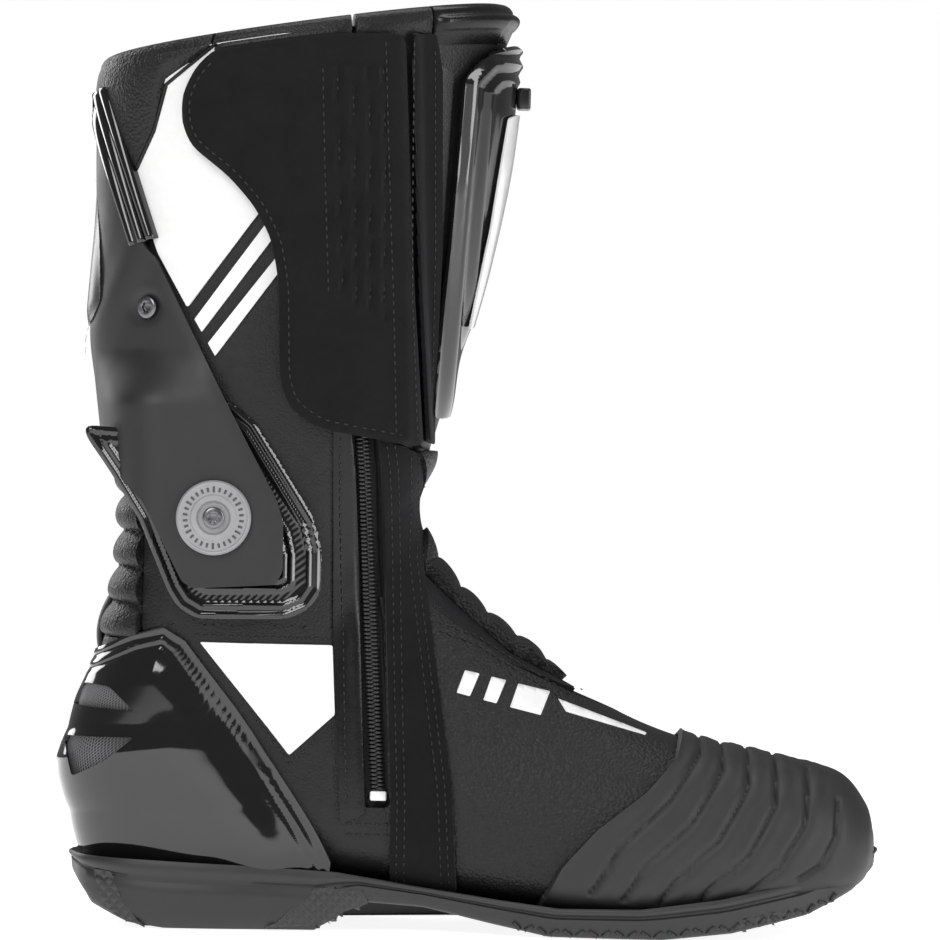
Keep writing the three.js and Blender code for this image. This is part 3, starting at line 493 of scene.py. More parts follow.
# ---------------------------------------------------------------------------
# Stitching
# Twisted black polyester thread. Every row of the boot is lockstitched at about
# nine stitches an inch, so the rows of one body are gathered in one piece.
# ---------------------------------------------------------------------------
def plain(name, color, rough, metal=0.0, coat=0.0, bump_scale=0.0, bump_depth=0.0):
    """A moulded or metal finish: fine mottling in colour and roughness, and a faint surface texture."""
    made = bpy.data.materials.new(name)
    made.use_nodes = True
    tree = made.node_tree
    shader = tree.nodes["Principled BSDF"]
    shader.inputs["Metallic"].default_value = metal
    shader.inputs["Coat Weight"].default_value = coat
    shader.inputs["Coat Roughness"].default_value = 0.06
    where = node(tree, "ShaderNodeTexCoord")
    cloud = node(tree, "ShaderNodeTexNoise", Scale=120.0, Detail=4.0)
    tint = node(tree, "ShaderNodeMix", data_type="RGBA")
    tint.inputs["A"].default_value = (*[c * 0.85 for c in color], 1)
    tint.inputs["B"].default_value = (*[min(1, c * 1.15) for c in color], 1)
    gloss = node(tree, "ShaderNodeMapRange")
    gloss.inputs["To Min"].default_value = rough * 0.85
    gloss.inputs["To Max"].default_value = min(1, rough * 1.18)
    link = tree.links.new
    link(where.outputs["Object"], cloud.inputs["Vector"])
    link(cloud.outputs["Fac"], tint.inputs["Factor"])
    link(cloud.outputs["Fac"], gloss.inputs["Value"])
    link(tint.outputs["Result"], shader.inputs["Base Color"])
    link(gloss.outputs["Result"], shader.inputs["Roughness"])
    if bump_depth:
        fine = node(tree, "ShaderNodeTexNoise", Scale=bump_scale, Detail=3.0)
        bump = node(tree, "ShaderNodeBump", Strength=0.6, Distance=bump_depth * MM)
        link(where.outputs["Object"], fine.inputs["Vector"])
        link(fine.outputs["Fac"], bump.inputs["Height"])
        link(bump.outputs["Normal"], shader.inputs["Normal"])
    return made


thread = plain("black thread", (0.012, 0.012, 0.013), 0.55)
STITCH = 2.3  # length of a stitch
PITCH = 3.1  # from one stitch to the next
THREAD_WIDTH = 0.68
THREAD_RISE = 0.6
seams = {"foot": [], "shaft": [], "closure": [], "ankle": []}


def sew(body, line, side, lift):
    """Adds a row of stitches along a side-view line, lying at a lift."""
    points = [Vector(p) for p in line]
    fine = stepped(points, 0.5, closed=False)
    lengths = np.concatenate([[0], np.cumsum([(b - a).length for a, b in zip(fine[:-1], fine[1:])])])
    count = max(2, round(lengths[-1] / PITCH))
    where = np.linspace(STITCH / 2, lengths[-1] - STITCH / 2, count)
    xs = np.interp(where, lengths, [p.x for p in fine])
    zs = np.interp(where, lengths, [p.y for p in fine])
    t, a = from_side(np.stack([xs, zs], axis=1))
    height = lift if np.isscalar(lift) else lift(xs, zs)
    at = on_form(t, a * side, height)
    up = on_form(t, a * side, height + 1.0) - at
    ahead = np.gradient(at, axis=0)
    seams[body] += [(Vector(p), Vector(d), Vector(n)) for p, d, n in zip(at, ahead, up)]


def sewn(name, body):
    """Makes one piece of all the stitches gathered for a body."""
    bm = bmesh.new()
    for place, ahead, up in seams[body]:
        x = ahead.normalized()
        y = up.cross(x).normalized()
        z = x.cross(y)
        basis = Matrix((x, y, z)).transposed().to_4x4()
        shape = Matrix.Translation(place * MM) @ basis @ Matrix.Diagonal(
            (STITCH / 2 * MM, THREAD_WIDTH / 2 * MM, THREAD_RISE / 2 * MM, 1)
        )
        bmesh.ops.create_icosphere(bm, subdivisions=1, radius=1, matrix=shape)
    return new_piece(name, bm, thread, None if body == "ankle" else body)


def beside(line, distance):
    """A side-view line moved sideways by a distance, to its left as it runs."""
    points = np.array(line, float)
    ahead = np.gradient(points, axis=0)
    ahead /= np.linalg.norm(ahead, axis=1)[:, None]
    return points + distance * np.stack([-ahead[:, 1], ahead[:, 0]], axis=1)


# ---------------------------------------------------------------------------
# Vamp decoration
# A tapered white stripe and three slanted bars, printed on the pebbled vamp with
# thick ink, and the two seams that close the vamp over the instep.
# ---------------------------------------------------------------------------
ink = plain("white ink", (0.82, 0.82, 0.82), 0.45, bump_scale=900, bump_depth=0.05)
for k, outline in enumerate([
    [(111, 86.8), (144.4, 74.6), (144, 73.8), (114, 82.2)],
    [(76, 97), (81.5, 95.8), (78, 87.5), (73, 88.8)],
    [(86, 94.7), (91.5, 93.4), (88, 85), (83, 86.2)],
    [(96, 92.2), (108, 89.4), (104.5, 80.9), (93, 83.7)],
]):
    mark = new_piece(
        f"vamp_mark_{k + 1}", skin(outline, "medial", 0.14, radius=0.4), ink, "foot",
    )
    thicken(mark, 0.2, rim=0)
for side in (MEDIAL, LATERAL):
    sew("foot", [(66, 114.5), (80, 109.5), (97, 99), (116, 88)], side, 0.3)
    sew("foot", [(66, 111.5), (80, 106.5), (97, 96), (114, 86)], side, 0.3)

# ---------------------------------------------------------------------------
# Toe cap
# Thick rubber, moulded with a rolled and notched rear rim, curved grooves that let
# it flex, and raised rays over the toes. Glued and lasted under the sole.
# ---------------------------------------------------------------------------
rubber = plain("matte black rubber", (0.017, 0.017, 0.0175), 0.56, bump_scale=2600, bump_depth=0.05)
TOE_RIM = [(159, 82), (159, 74), (155.5, 64), (144.5, 53), (126, 39.5), (113, 26), (106, 13.5), (104, 4)]
FEATHER = [
    (-90, 27), (-42, 25.5), (-5, 24), (30, 22), (59, 17.5), (89, 13.5), (112, 11), (142, 11.5), (171, 15.5),
    (201, 22), (220, 29), (245, 38),
]
TOE_GROOVES = [
    [(166, 78), (164, 66), (152, 50), (134, 34), (124, 18)],
    [(174, 74), (172, 60), (160, 42), (143, 27), (136, 16)],
    [(183, 70), (181, 54), (170, 36), (154, 22), (149, 15)],
    [(193, 66), (191, 48), (181, 31), (167, 20), (164, 16)],
    [(204, 60), (202, 42), (193, 28), (183, 20)],
    [(214, 50), (213, 38), (208, 29), (200, 24)],
]
TOE_RAYS = [[(168, 72), (186, 70)], [(178, 66), (200, 61)], [(190, 68), (205, 62)]]


def toe_relief(x, z, t, a):
    rim = swell(line_distance(x, z, beside(TOE_RIM, -2.2)), 3.4) * 1.5
    notches = 0.35 * np.cos(2 * np.pi * (z + 0.4 * x) / 3.2) * swell(
        line_distance(x, z, beside(TOE_RIM, -5.6)), 1.8
    )
    cuts = sum(swell(line_distance(x, z, groove), 1.4) * -1.3 for groove in TOE_GROOVES)
    soft = sum(swell(line_distance(x, z, beside(groove, 3.5)), 3.5) * 0.35 for groove in TOE_GROOVES)
    rays = sum(swell(line_distance(x, z, ray), 2.4) * 0.7 for ray in TOE_RAYS)
    return 2.9 + rim + notches + cuts + soft + rays


toe_outline = [*TOE_RIM, (300, 4), (300, 82)]
toe_cap = new_piece(
    "toe_cap_moulding", skin(toe_outline, "front", toe_relief, detail=1.8, radius=0), rubber, "foot",
    "toe_cap"
)
thicken(toe_cap, 2.5, rim=0.5)
for side in (MEDIAL, LATERAL):
    sew("foot", beside(TOE_RIM[1:-1], 1.8), side, 0.25)

# ---------------------------------------------------------------------------
# Toe slider
# A replaceable hard plastic scuff plate on the outer side of the toe, ribbed and
# held by two countersunk screws.
# ---------------------------------------------------------------------------
gloss = plain("polished black moulding", (0.006, 0.006, 0.0062), 0.09, coat=0.5)
satin = plain("satin black moulding", (0.010, 0.010, 0.0105), 0.28, bump_scale=1800, bump_depth=0.02)
dark_steel = plain("blackened steel", (0.18, 0.18, 0.19), 0.32, metal=1.0)
SLIDER = [(168, 27), (172, 50), (205, 56), (217, 50), (219, 36), (205, 27)]


def slider_relief(x, z, t, a):
    ribs = 0.5 * np.cos(2 * np.pi * (x + 0.3 * z) / 5.0)
    edge = np.clip(line_distance(x, z, [*SLIDER, SLIDER[0]]) / 4, 0, 1)
    holes = swell(np.hypot(x - 182, z - 40), 5.0) + swell(np.hypot(x - 205, z - 43), 5.0)
    return 3.4 + 2.6 * edge + ribs * edge * (1 - np.clip(holes, 0, 1)) - 1.4 * np.clip(holes, 0, 1)


toe_slider = new_piece(
    "toe_slider_plate", skin(SLIDER, "lateral", slider_relief, detail=2, radius=4), satin, "foot",
    "toe_slider"
)
thicken(toe_slider, 2.0, rim=0.3)


def screw(name, x, z, side, lift, radius, body, replaced, y=None, points=6):
    """A round screw head with a socket, standing on the form at a side-view point, or on a flat at y."""
    t, a = from_side([(x, z)])
    seat = on_form(t, a * side, lift)[0]
    if y is not None:
        seat, up = np.array([x, y, z]), np.array([0, side, 0])
    else:
        (tx, ax), (tz, az) = from_side([(x + 1, z)]), from_side([(x, z + 1)])
        along_x = on_form(tx, ax * side, lift)[0] - seat
        along_z = on_form(tz, az * side, lift)[0] - seat
        up = np.cross(along_z, along_x) * side
        up *= np.sign(up[1]) * side
    bm = bmesh.new()
    bmesh.ops.create_circle(bm, cap_ends=True, segments=28, radius=radius * MM)
    top = bmesh.ops.extrude_face_region(bm, geom=bm.faces[:])["geom"]
    bmesh.ops.translate(
        bm, verts=[v for v in top if isinstance(v, bmesh.types.BMVert)], vec=(0, 0, radius * 0.45 * MM)
    )
    crown = [f for f in bm.faces if f.calc_center_median().z > radius * 0.4 * MM and abs(f.normal.z) > 0.9]
    bmesh.ops.inset_region(bm, faces=crown, thickness=radius * 0.18 * MM, depth=radius * 0.1 * MM)
    crown = [f for f in bm.faces if len(f.verts) > 10 and f.calc_center_median().z > radius * 0.4 * MM]
    bmesh.ops.inset_region(bm, faces=crown, thickness=radius * 0.32 * MM, depth=0)
    crown = [f for f in bm.faces if len(f.verts) > 10 and f.calc_center_median().z > radius * 0.4 * MM]
    for v in crown[0].verts:
        turn = math.atan2(v.co.y, v.co.x)
        v.co.xy *= 0.86 + 0.14 * math.cos(points * turn)
    socket = bmesh.ops.extrude_face_region(bm, geom=crown)["geom"]
    bmesh.ops.translate(
        bm, verts=[v for v in socket if isinstance(v, bmesh.types.BMVert)],
        vec=(0, 0, -radius * 0.35 * MM)
    )
    bmesh.ops.delete(bm, geom=crown, context="FACES_KEEP_BOUNDARY")
    bmesh.ops.recalc_face_normals(bm, faces=bm.faces)
    turn = Vector(up).to_track_quat("Z", "Y").to_matrix().to_4x4()
    bmesh.ops.transform(bm, matrix=Matrix.Translation(Vector(seat) * MM) @ turn, verts=bm.verts)
    piece = new_piece(name, bm, dark_steel, body, replaced)
    edge = piece.modifiers.new("rim", "BEVEL")
    edge.width = radius * 0.06 * MM
    edge.segments = 2
    edge.limit_method = "ANGLE"
    return piece


screw("toe_slider_bolt_1", 182, 40, LATERAL, 3.4, 2.9, "foot", "toe_slider_screw_1")
screw("toe_slider_bolt_2", 205, 43, LATERAL, 3.4, 2.9, "foot", "toe_slider_screw_2")

# ---------------------------------------------------------------------------
# Heel cup
# A polished thermoplastic shell round the heel, with a ridge behind, a stitched
# flange along its front edge and two screened vents on each side.
# ---------------------------------------------------------------------------
HEEL_EDGE = [
    (-80, 101), (-62, 103), (-47, 109.5), (-35, 112), (-27, 107), (-8, 82), (14, 50), (29, 29),
    (28.5, 12)
]
HEEL_INNER = [
    (-80, 94), (-60, 96), (-46, 101), (-37, 103), (-31, 100), (-14, 77), (7, 46), (19, 28), (19, 12)
]
VENTS = [[(-66, 90), (-56, 89), (-46, 80), (-74, 82)], [(-74, 70), (-46, 70.5), (-58, 61), (-70, 55)]]


def heel_bulge(z, a):
    """How far the shell stands off behind: a ridge at mid height, and a skirt down to the sole."""
    levels = [
        (27, 8), (32, 8), (39, 6.4), (47, 5.5), (54, 7.2), (62, 8.8), (69, 9.5), (73, 7.4), (77, 4.8),
        (92, 2.8), (106, 0)
    ]
    return np.interp(z, *zip(*levels)) * np.clip(np.cos(np.pi * a), 0, 1) ** 1.3


def heel_relief(x, z, t, a):
    shell = swell(
        np.clip(line_distance(x, z, HEEL_INNER) * np.where(inside(x, z, HEEL_BODY), 1, 0), 0, 9) - 9, 9
    )
    double = -0.7 * swell(line_distance(x, z, beside(HEEL_EDGE, -2.6)), 1.5)
    double += -0.7 * swell(line_distance(x, z, beside(HEEL_EDGE, -6.4)), 1.5)
    facet = 0.9 * swell(line_distance(x, z, [(-30, 70), (-14, 50), (2, 30), (4, 14)]), 14)
    return 2.0 + 1.6 * shell + heel_bulge(z, a) + double + facet * shell


def inside(x, z, outline):
    """Which side-view points lie inside an outline."""
    result = np.zeros(len(x), bool)
    for (ax, az), (bx, bz) in zip(outline, [*outline[1:], outline[0]]):
        crosses = (az > z) != (bz > z)
        result ^= crosses & (x < (bx - ax) * (z - az) / np.where(bz == az, 1e-9, bz - az) + ax)
    return result


HEEL_BODY = [*HEEL_INNER, (-110, 12), (-110, 94)]
heel_cup = new_piece(
    "heel_cup_shell",
    skin([*HEEL_EDGE, (-110, 12), (-110, 101)], "back", heel_relief, detail=2.4, radius=0), gloss,
    "foot", "heel_cup",
)
thicken(heel_cup, 1.9, rim=0.5)


def apply_modifiers(piece):
    """Bakes a piece's modifiers into its mesh."""
    seen = piece.evaluated_get(bpy.context.evaluated_depsgraph_get())
    data = bpy.data.meshes.new_from_object(seen)
    piece.modifiers.clear()
    piece.data = data


def cut_windows(piece, outlines, near, far, radius=1.5):
    """Cuts windows through both sides of a piece, each a side-view outline run sideways from near to far."""
    for outline in outlines:
        for side in (MEDIAL, LATERAL):
            bm = bmesh.new()
            corners = rounded(outline, radius)
            bm.faces.new([bm.verts.new((p.x * MM, side * near * MM, p.y * MM)) for p in corners])
            top = bmesh.ops.extrude_face_region(bm, geom=bm.faces[:])["geom"]
            bmesh.ops.translate(
                bm, verts=[v for v in top if isinstance(v, bmesh.types.BMVert)],
                vec=(0, side * (far - near) * MM, 0)
            )
            bmesh.ops.recalc_face_normals(bm, faces=bm.faces)
            data = bpy.data.meshes.new("cutter")
            bm.to_mesh(data)
            bm.free()
            cutter = bpy.data.objects.new("cutter", data)
            bpy.context.scene.collection.objects.link(cutter)
            hole = piece.modifiers.new("window", "BOOLEAN")
            hole.operation = "DIFFERENCE"
            hole.object = cutter
            apply_modifiers(piece)
            bpy.data.objects.remove(cutter)


for kind in ("rim", "shading"):
    heel_cup.modifiers.remove(heel_cup.modifiers[kind])
cut_windows(heel_cup, VENTS, 8, 70)
heel_cup.data.set_sharp_from_angle(angle=math.radians(42))
wire_grey = plain("grey wire mesh", (0.24, 0.24, 0.245), 0.4, metal=0.3)
for side, word in ((MEDIAL, "medial"), (LATERAL, "lateral")):
    pocket = [(-80, 94), (-52, 93), (-42, 80), (-42, 67), (-64, 50), (-80, 52)]
    backing = new_piece(
        f"heel_vent_liner_{word}", skin(pocket, word, lambda x, z, t, a: 0.3 + 0.6 * heel_bulge(z, a)),
        satin, "foot", f"heel_vent_screen_{word}"
    )
    thicken(backing, 0.3, rim=0)
    screen = new_piece(
        f"heel_vent_mesh_{word}",
        skin(pocket, word, lambda x, z, t, a: 1.4 + 0.8 * heel_bulge(z, a), detail=1.6), wire_grey,
        "foot"
    )
    wires = screen.modifiers.new("wires", "WIREFRAME")
    wires.thickness = 0.5 * MM
    wires.use_even_offset = False
for side in (MEDIAL, LATERAL):
    sew("foot", beside(HEEL_EDGE[1:-1], -4.5), side, 2.1)

# ---------------------------------------------------------------------------
# Heel patches and heel pull tab
# White leather panels in front of the heel cup on each side, edge stitched, and a
# stiff webbing loop behind the ankle for pulling the boot on.
# ---------------------------------------------------------------------------
PATCH = [(-22, 106.5), (26.5, 105.5), (28, 80), (11.5, 65)]
for side, word in ((MEDIAL, "medial"), (LATERAL, "lateral")):
    patch = new_piece(
        f"heel_panel_{word}", skin(PATCH, word, 1.1, radius=0.8), white_hide, "foot",
        f"heel_patch_{word}"
    )
    thicken(patch, 1.0, rim=0.3)
    sew("foot", [(-24.5, 109), (31.5, 108)], side, 0.3)
    sew("foot", [(31.5, 108), (31.5, 60)], side, 0.3)
    sew("foot", [(29.5, 78), (12, 62), (-1, 78)], side, 0.3)


webbing = plain("grey-black webbing", (0.02, 0.02, 0.021), 0.6, bump_scale=1500, bump_depth=0.3)
tab = bmesh.new()
bmesh.ops.create_grid(tab, x_segments=20, y_segments=8, size=1)
for v in tab.verts:
    s, w = (v.co.x + 1) / 2, v.co.y
    z = 97 + 27 * s
    t, a = from_side([(-100, z)])
    base = on_form(t, a * 0, 2.6 + 4.6 * math.sin(math.pi * s) ** 0.8)[0]
    v.co = Vector((base[0] + 1.2 * w * w, w * 8.5 * (1 - 0.12 * s), z)) * MM
bmesh.ops.recalc_face_normals(tab, faces=tab.faces)
heel_tab = new_piece("heel_pull_tab", tab, webbing, "foot", "heel_tab")
thicken(heel_tab, 1.6, rim=0.5, offset=0)

# ---------------------------------------------------------------------------
# Ankle surrounds
# Moulded plates round the pivot on both sides, with concentric ridges and a strip
# of fine ribbing between them, riveted to the foot under the guard's arms.
# ---------------------------------------------------------------------------
PIVOT = (-17.3, 152.5)
FACE = 46.09  # outer face of the surround, from the middle of the boot
ARM = 48.19  # inner face of the guard's arm
SURROUND = [
    (-13, 196), (-3, 188), (8, 171), (20, 152), (22.6, 141), (22.6, 126), (18, 119), (10, 115.5), (-23, 115),
    (-30, 119), (-34, 125), (-45, 151), (-56, 168), (-66, 182), (-66, 186), (-36, 184),
]


def flat_plate(name, outline, depth, side, material, replaced, body, step=1.0, radius=4.0, wall=2.4):
    """A plate standing square to the pivot. depth gives how far its outer face is from the boot's middle."""
    bm = bmesh.new()
    bm.faces.new([bm.verts.new((p.x, p.y, 0)) for p in stepped(rounded(outline, radius), 1.5)])
    xs, ys = [p[0] for p in outline], [p[1] for p in outline]
    bisected(bm, 0, min(xs), max(xs), step)
    bisected(bm, 1, min(ys), max(ys), step)
    x, z = np.array([v.co.x for v in bm.verts]), np.array([v.co.y for v in bm.verts])
    y = side * depth(x, z)
    for v, p in zip(bm.verts, np.stack([x, y, z], axis=1) * MM):
        v.co = p
    bm.normal_update()
    if sum(f.normal.y for f in bm.faces) * side < 0:
        bmesh.ops.reverse_faces(bm, faces=bm.faces)
    piece = new_piece(name, bm, material, body, replaced)
    return thicken(piece, wall, rim=0.5)


def surround_depth(x, z):
    rim = line_distance(x, z, [*SURROUND, SURROUND[0]])
    ridges = 1.0 * (
        swell(rim - 1.6, 1.7) + swell(rim - 4.9, 1.6) + swell(rim - 11.2, 1.6) + swell(rim - 14.4, 1.6)
    )
    ribbing = 0.2 * np.cos(2 * np.pi * (x - z) / 2.6) * swell(rim - 8.0, 2.4)
    t, a = from_side(np.stack([x, z], axis=1))
    under = np.abs(on_form(t, a, 0.6)[:, 1])
    tail = np.clip((-40 - x) / 20, 0, 1)
    return np.maximum(FACE - 0.4 + ridges + ribbing - 9 * tail, under + 0.8)


for side, word in ((MEDIAL, "medial"), (LATERAL, "lateral")):
    flat_plate(
        f"ankle_surround_plate_{word}", SURROUND, surround_depth, side, gloss, f"ankle_surround_{word}",
        "foot", step=0.7
    )

# ---------------------------------------------------------------------------
# Ankle pivots
# A satin silver cap with a ring of index ticks, screwed over a steel bush that the
# guard's arm turns on.
# ---------------------------------------------------------------------------
silver = plain("satin silver", (0.30, 0.30, 0.31), 0.42, metal=0.2)
mid_grey = plain("dark cap marks", (0.07, 0.07, 0.072), 0.5)
CAP_BACK = ARM + 2.8 + 0.25


def spun(name, profile, material, body, replaced, side, segments=96):
    """A turned piece on the pivot's axis, from (radius, distance from the boot's middle) corners."""
    bm = bmesh.new()
    line = [bm.verts.new((r * MM, 0, y * MM)) for r, y in profile]
    edges = [bm.edges.new(pair) for pair in zip(line[:-1], line[1:])]
    bmesh.ops.spin(
        bm, geom=line + edges, axis=(0, 0, 1), cent=(0, 0, 0), angle=2 * math.pi, steps=segments,
        use_merge=True
    )
    bmesh.ops.remove_doubles(bm, verts=bm.verts, dist=1e-6)
    turn = Matrix.Rotation(math.radians(90 * -side), 4, "X")
    bmesh.ops.transform(
        bm, matrix=Matrix.Translation(Vector((PIVOT[0], 0, PIVOT[1])) * MM) @ turn, verts=bm.verts
    )
    bmesh.ops.recalc_face_normals(bm, faces=bm.faces)
    piece = new_piece(name, bm, material, body, replaced)
    piece.data.set_sharp_from_angle(angle=math.radians(35))
    return piece


for side, word in ((MEDIAL, "medial"), (LATERAL, "lateral")):
    bush = [(0, FACE), (8.8, FACE), (8.8, ARM - 0.5), (5.95, ARM - 0.5), (5.95, CAP_BACK), (0, CAP_BACK)]
    spun(f"pivot_sleeve_{word}", bush, dark_steel, "foot", f"pivot_bush_{word}", side, 48)
    cap = [
        (0, CAP_BACK), (13.4, CAP_BACK), (13.8, CAP_BACK + 0.4), (13.8, CAP_BACK + 1.6),
        (13.2, CAP_BACK + 2.4),
        (12.6, CAP_BACK + 2.45), (12.2, CAP_BACK + 2.1), (8.6, CAP_BACK + 2.1), (8.2, CAP_BACK + 2.5),
        (6.4, CAP_BACK + 2.5), (5.6, CAP_BACK + 1.2), (0, CAP_BACK + 1.2),
    ]
    spun(f"pivot_cap_disc_{word}", cap, silver, "foot", f"pivot_cap_{word}", side)
    screw(
        f"pivot_bolt_{word}", *PIVOT, side, 0, 4.0, "foot", f"pivot_screw_{word}",
        y=side * (CAP_BACK + 0.9)
    )
    ticks = bmesh.new()
    for k in range(30):
        long = 1.0 if k % 5 else 1.35
        turn = Matrix.Rotation(2 * math.pi * k / 30, 4, "Y")
        spot = Matrix.Translation(
            Vector((PIVOT[0], side * (CAP_BACK + 2.05), PIVOT[1])) * MM
        ) @ turn @ Matrix.Translation((0, 0, 10.4 * MM))
        bmesh.ops.create_cube(
            ticks, size=1, matrix=spot @ Matrix.Diagonal((0.8 * MM, 0.5 * MM, long * 1.6 * MM, 1))
        )
    new_piece(f"pivot_index_ring_{word}", ticks, mid_grey, "foot")

# ---------------------------------------------------------------------------
# Sole
# Moulded black rubber, bonded under the upper: a wall with a groove and a lip, a
# bevelled tread edge with chevron lugs, and softer ribbed inserts at the heel.
# ---------------------------------------------------------------------------
SOLE_BOTTOM = [
    (-76, 26), (-70, 17), (-62, 8), (-48, 2), (-34, 0.2), (22, 0.2), (38, 11), (62, 9.5), (88, 4), (108, 0.2),
    (150, 0.2), (176, 3), (204, 9.5), (222, 18), (240, 33),
]
SOLE_PLAN = [
    (-71.3, 0), (-69.8, -10), (-64, -26), (-48, -37), (-20, -40), (15, -37.5), (50, -37.5), (85, -43),
    (115, -50),
    (145, -54), (175, -53), (200, -47), (218, -37), (228, -23), (231, -10), (229, 2), (221, 17), (206, 32),
    (180, 46), (150, 54), (115, 54.5), (80, 49), (45, 43), (10, 40.5), (-20, 40), (-48, 36), (-64, 26),
    (-69.8, 10),
]
# Going up the wall: the share of its height, and how far it stands out there.
SOLE_WALL = [
    (0.0, -2.0), (0.06, -0.9), (0.14, -0.3), (0.3, -0.1), (0.5, 0.0), (0.62, 0.1), (0.67, -0.8), (0.73, -0.8),
    (0.78, 0.6), (0.86, 1.1), (0.94, 1.0), (1.0, 0.3),
]


def curve_through(points, count):
    """A smooth closed curve through points, in evenly spaced steps."""
    points = np.array(points, float)
    fine = []
    for i in range(len(points)):
        a, b, c, d = (points[(i + k) % len(points)] for k in (-1, 0, 1, 2))
        f = (np.arange(8) / 8)[:, None]
        fine.append(
            0.5
            * (2 * b + (c - a) * f + (2 * a - 5 * b + 4 * c - d) * f**2 + (3 * b - a - 3 * c + d) * f**3)
        )
    fine = np.concatenate([*fine, points[:1]])
    lengths = np.concatenate([[0], np.cumsum(np.linalg.norm(np.diff(fine, axis=0), axis=1))])
    where = np.linspace(0, lengths[-1], count, endpoint=False)
    return np.stack([np.interp(where, lengths, fine[:, k]) for k in (0, 1)], axis=1)


def height_on(line, x):
    return np.interp(x, [p[0] for p in line], [p[1] for p in line])


def wrapped(sections, closed=True):
    """A surface through sections, which are lists of points of one length. closed joins a section's ends."""
    count = len(sections[0])
    wide = count + 1 if closed else count
    bm = bmesh.new()
    bmesh.ops.create_grid(bm, x_segments=wide - 1, y_segments=len(sections) - 1, size=1)
    for i, v in enumerate(bm.verts):
        v.co = Vector(sections[i // wide][(i % wide) % count]) * MM
    bmesh.ops.remove_doubles(bm, verts=bm.verts, dist=1e-6)
    return bm


def capped(bm):
    """Closes a surface's open ends and turns its faces out."""
    bmesh.ops.holes_fill(bm, edges=[e for e in bm.edges if e.is_boundary])
    bmesh.ops.recalc_face_normals(bm, faces=bm.faces)
    return bm


sole_rubber = plain("black sole rubber", (0.022, 0.022, 0.0225), 0.48, bump_scale=2200, bump_depth=0.06)
grip = plain("grey grip rubber", (0.05, 0.05, 0.051), 0.7, bump_scale=2200, bump_depth=0.08)
plan = curve_through(SOLE_PLAN, 440)
heading = np.roll(plan, -1, axis=0) - np.roll(plan, 1, axis=0)
plan_out = np.stack([heading[:, 1], -heading[:, 0]], axis=1) / np.linalg.norm(heading, axis=1)[:, None]
plan_out *= np.sign((plan_out * (plan - plan.mean(axis=0))).sum())


def sole_section(inset, height):
    xy = plan - plan_out * inset
    return [(x, y, z) for (x, y), z in zip(xy, height(plan[:, 0], xy[:, 0]))]


def wall_height(share):
    """Heights a share of the way from the sole's lower edge up to its feather line."""
    return lambda x0, x: height_on(SOLE_BOTTOM, x0) * (1 - share) + (height_on(FEATHER, x0) - 0.1) * share


def top_height(inset):
    """Heights of the sole's top, which dishes towards its middle."""
    return lambda x0, x: height_on(FEATHER, x0) - 0.3 - 0.35 * inset


sections = [sole_section(inset, lambda x0, x: height_on(SOLE_BOTTOM, x)) for inset in (33, 26, 19, 13, 8, 4)]
sections += [sole_section(-stand, wall_height(share)) for share, stand in SOLE_WALL]
sections += [sole_section(inset, top_height(inset)) for inset in (2, 5, 9)]
outsole = new_piece("outsole_moulding", capped(wrapped(sections)), sole_rubber, "foot", "outsole")
outsole.data.set_sharp_from_angle(angle=math.radians(50))


def lugs(name, material, places, size):
    """Small moulded lugs on the sole's wall. Each place is a step round the plan, a share up
    the wall and a turn."""
    bm = bmesh.new()
    for index, share, turn in places:
        x, y = plan[index % len(plan)]
        ox, oy = plan_out[index % len(plan)]
        z = height_on(SOLE_BOTTOM, x) * (1 - share) + height_on(FEATHER, x) * share
        out = Vector((ox, oy, 0))
        slope = (height_on(SOLE_BOTTOM, x + 4) - height_on(SOLE_BOTTOM, x - 4)) / 8
        level = Vector((-oy, ox, 0))
        level.z = slope * level.x
        level.normalize()
        basis = Matrix((level, out, level.cross(out))).transposed()
        spot = Matrix.Translation(Vector((x, y, z)) * MM) @ basis.to_4x4() @ Matrix.Rotation(turn, 4, "Y")
        shape = bmesh.ops.create_cube(bm, size=1, matrix=spot @ Matrix.Diagonal((*[s * MM for s in size], 1)))
        outer = [v for v in shape["verts"] if (v.co - Vector((x, y, z)) * MM).dot(out) > 0]
        bmesh.ops.scale(
            bm, vec=(0.75, 0.75, 0.75),
            space=Matrix.Translation(-sum((v.co for v in outer), Vector()) / 4), verts=outer
        )
    return new_piece(name, bm, material, "foot")


inner_front = [i for i, (x, y) in enumerate(plan) if 95 < x < 214 and i % 3 == 0]
chevrons = [(i, 0.16, math.radians(38 if k % 2 else -38)) for k, i in enumerate(inner_front)]
lugs("tread_edge_lugs", sole_rubber, chevrons, (4.2, 1.6, 1.5))
INSERTS = {
    "heel_grip_rear": [(-61, 21), (-54, 20.5), (-50, 11), (-42, 1), (-52, 4.6), (-57, 8)],
    "heel_grip_front": [(22, 16), (39, 15.5), (42, 10.6), (33, 7.4), (25, 2.2), (4, 1.2), (8, 3)],
    "forefoot_grip": [(179, 8), (197, 12), (196, 8.6), (186, 6), (174, 3.6)],
}


def diamonds(x, z, pitch):
    """A diamond knurl, from 0 in its grooves to 1 on its points."""
    u, v = (x + z) / pitch, (x - z) / pitch
    return np.minimum(np.abs(np.mod(u, 1) - 0.5), np.abs(np.mod(v, 1) - 0.5)) * 2


def sole_side(x, side):
    """How far out the sole's wall is, on one side, at x."""
    half = plan[plan[:, 1] * side > 0]
    half = half[np.argsort(half[:, 0])]
    return np.interp(x, half[:, 0], np.abs(half[:, 1]))


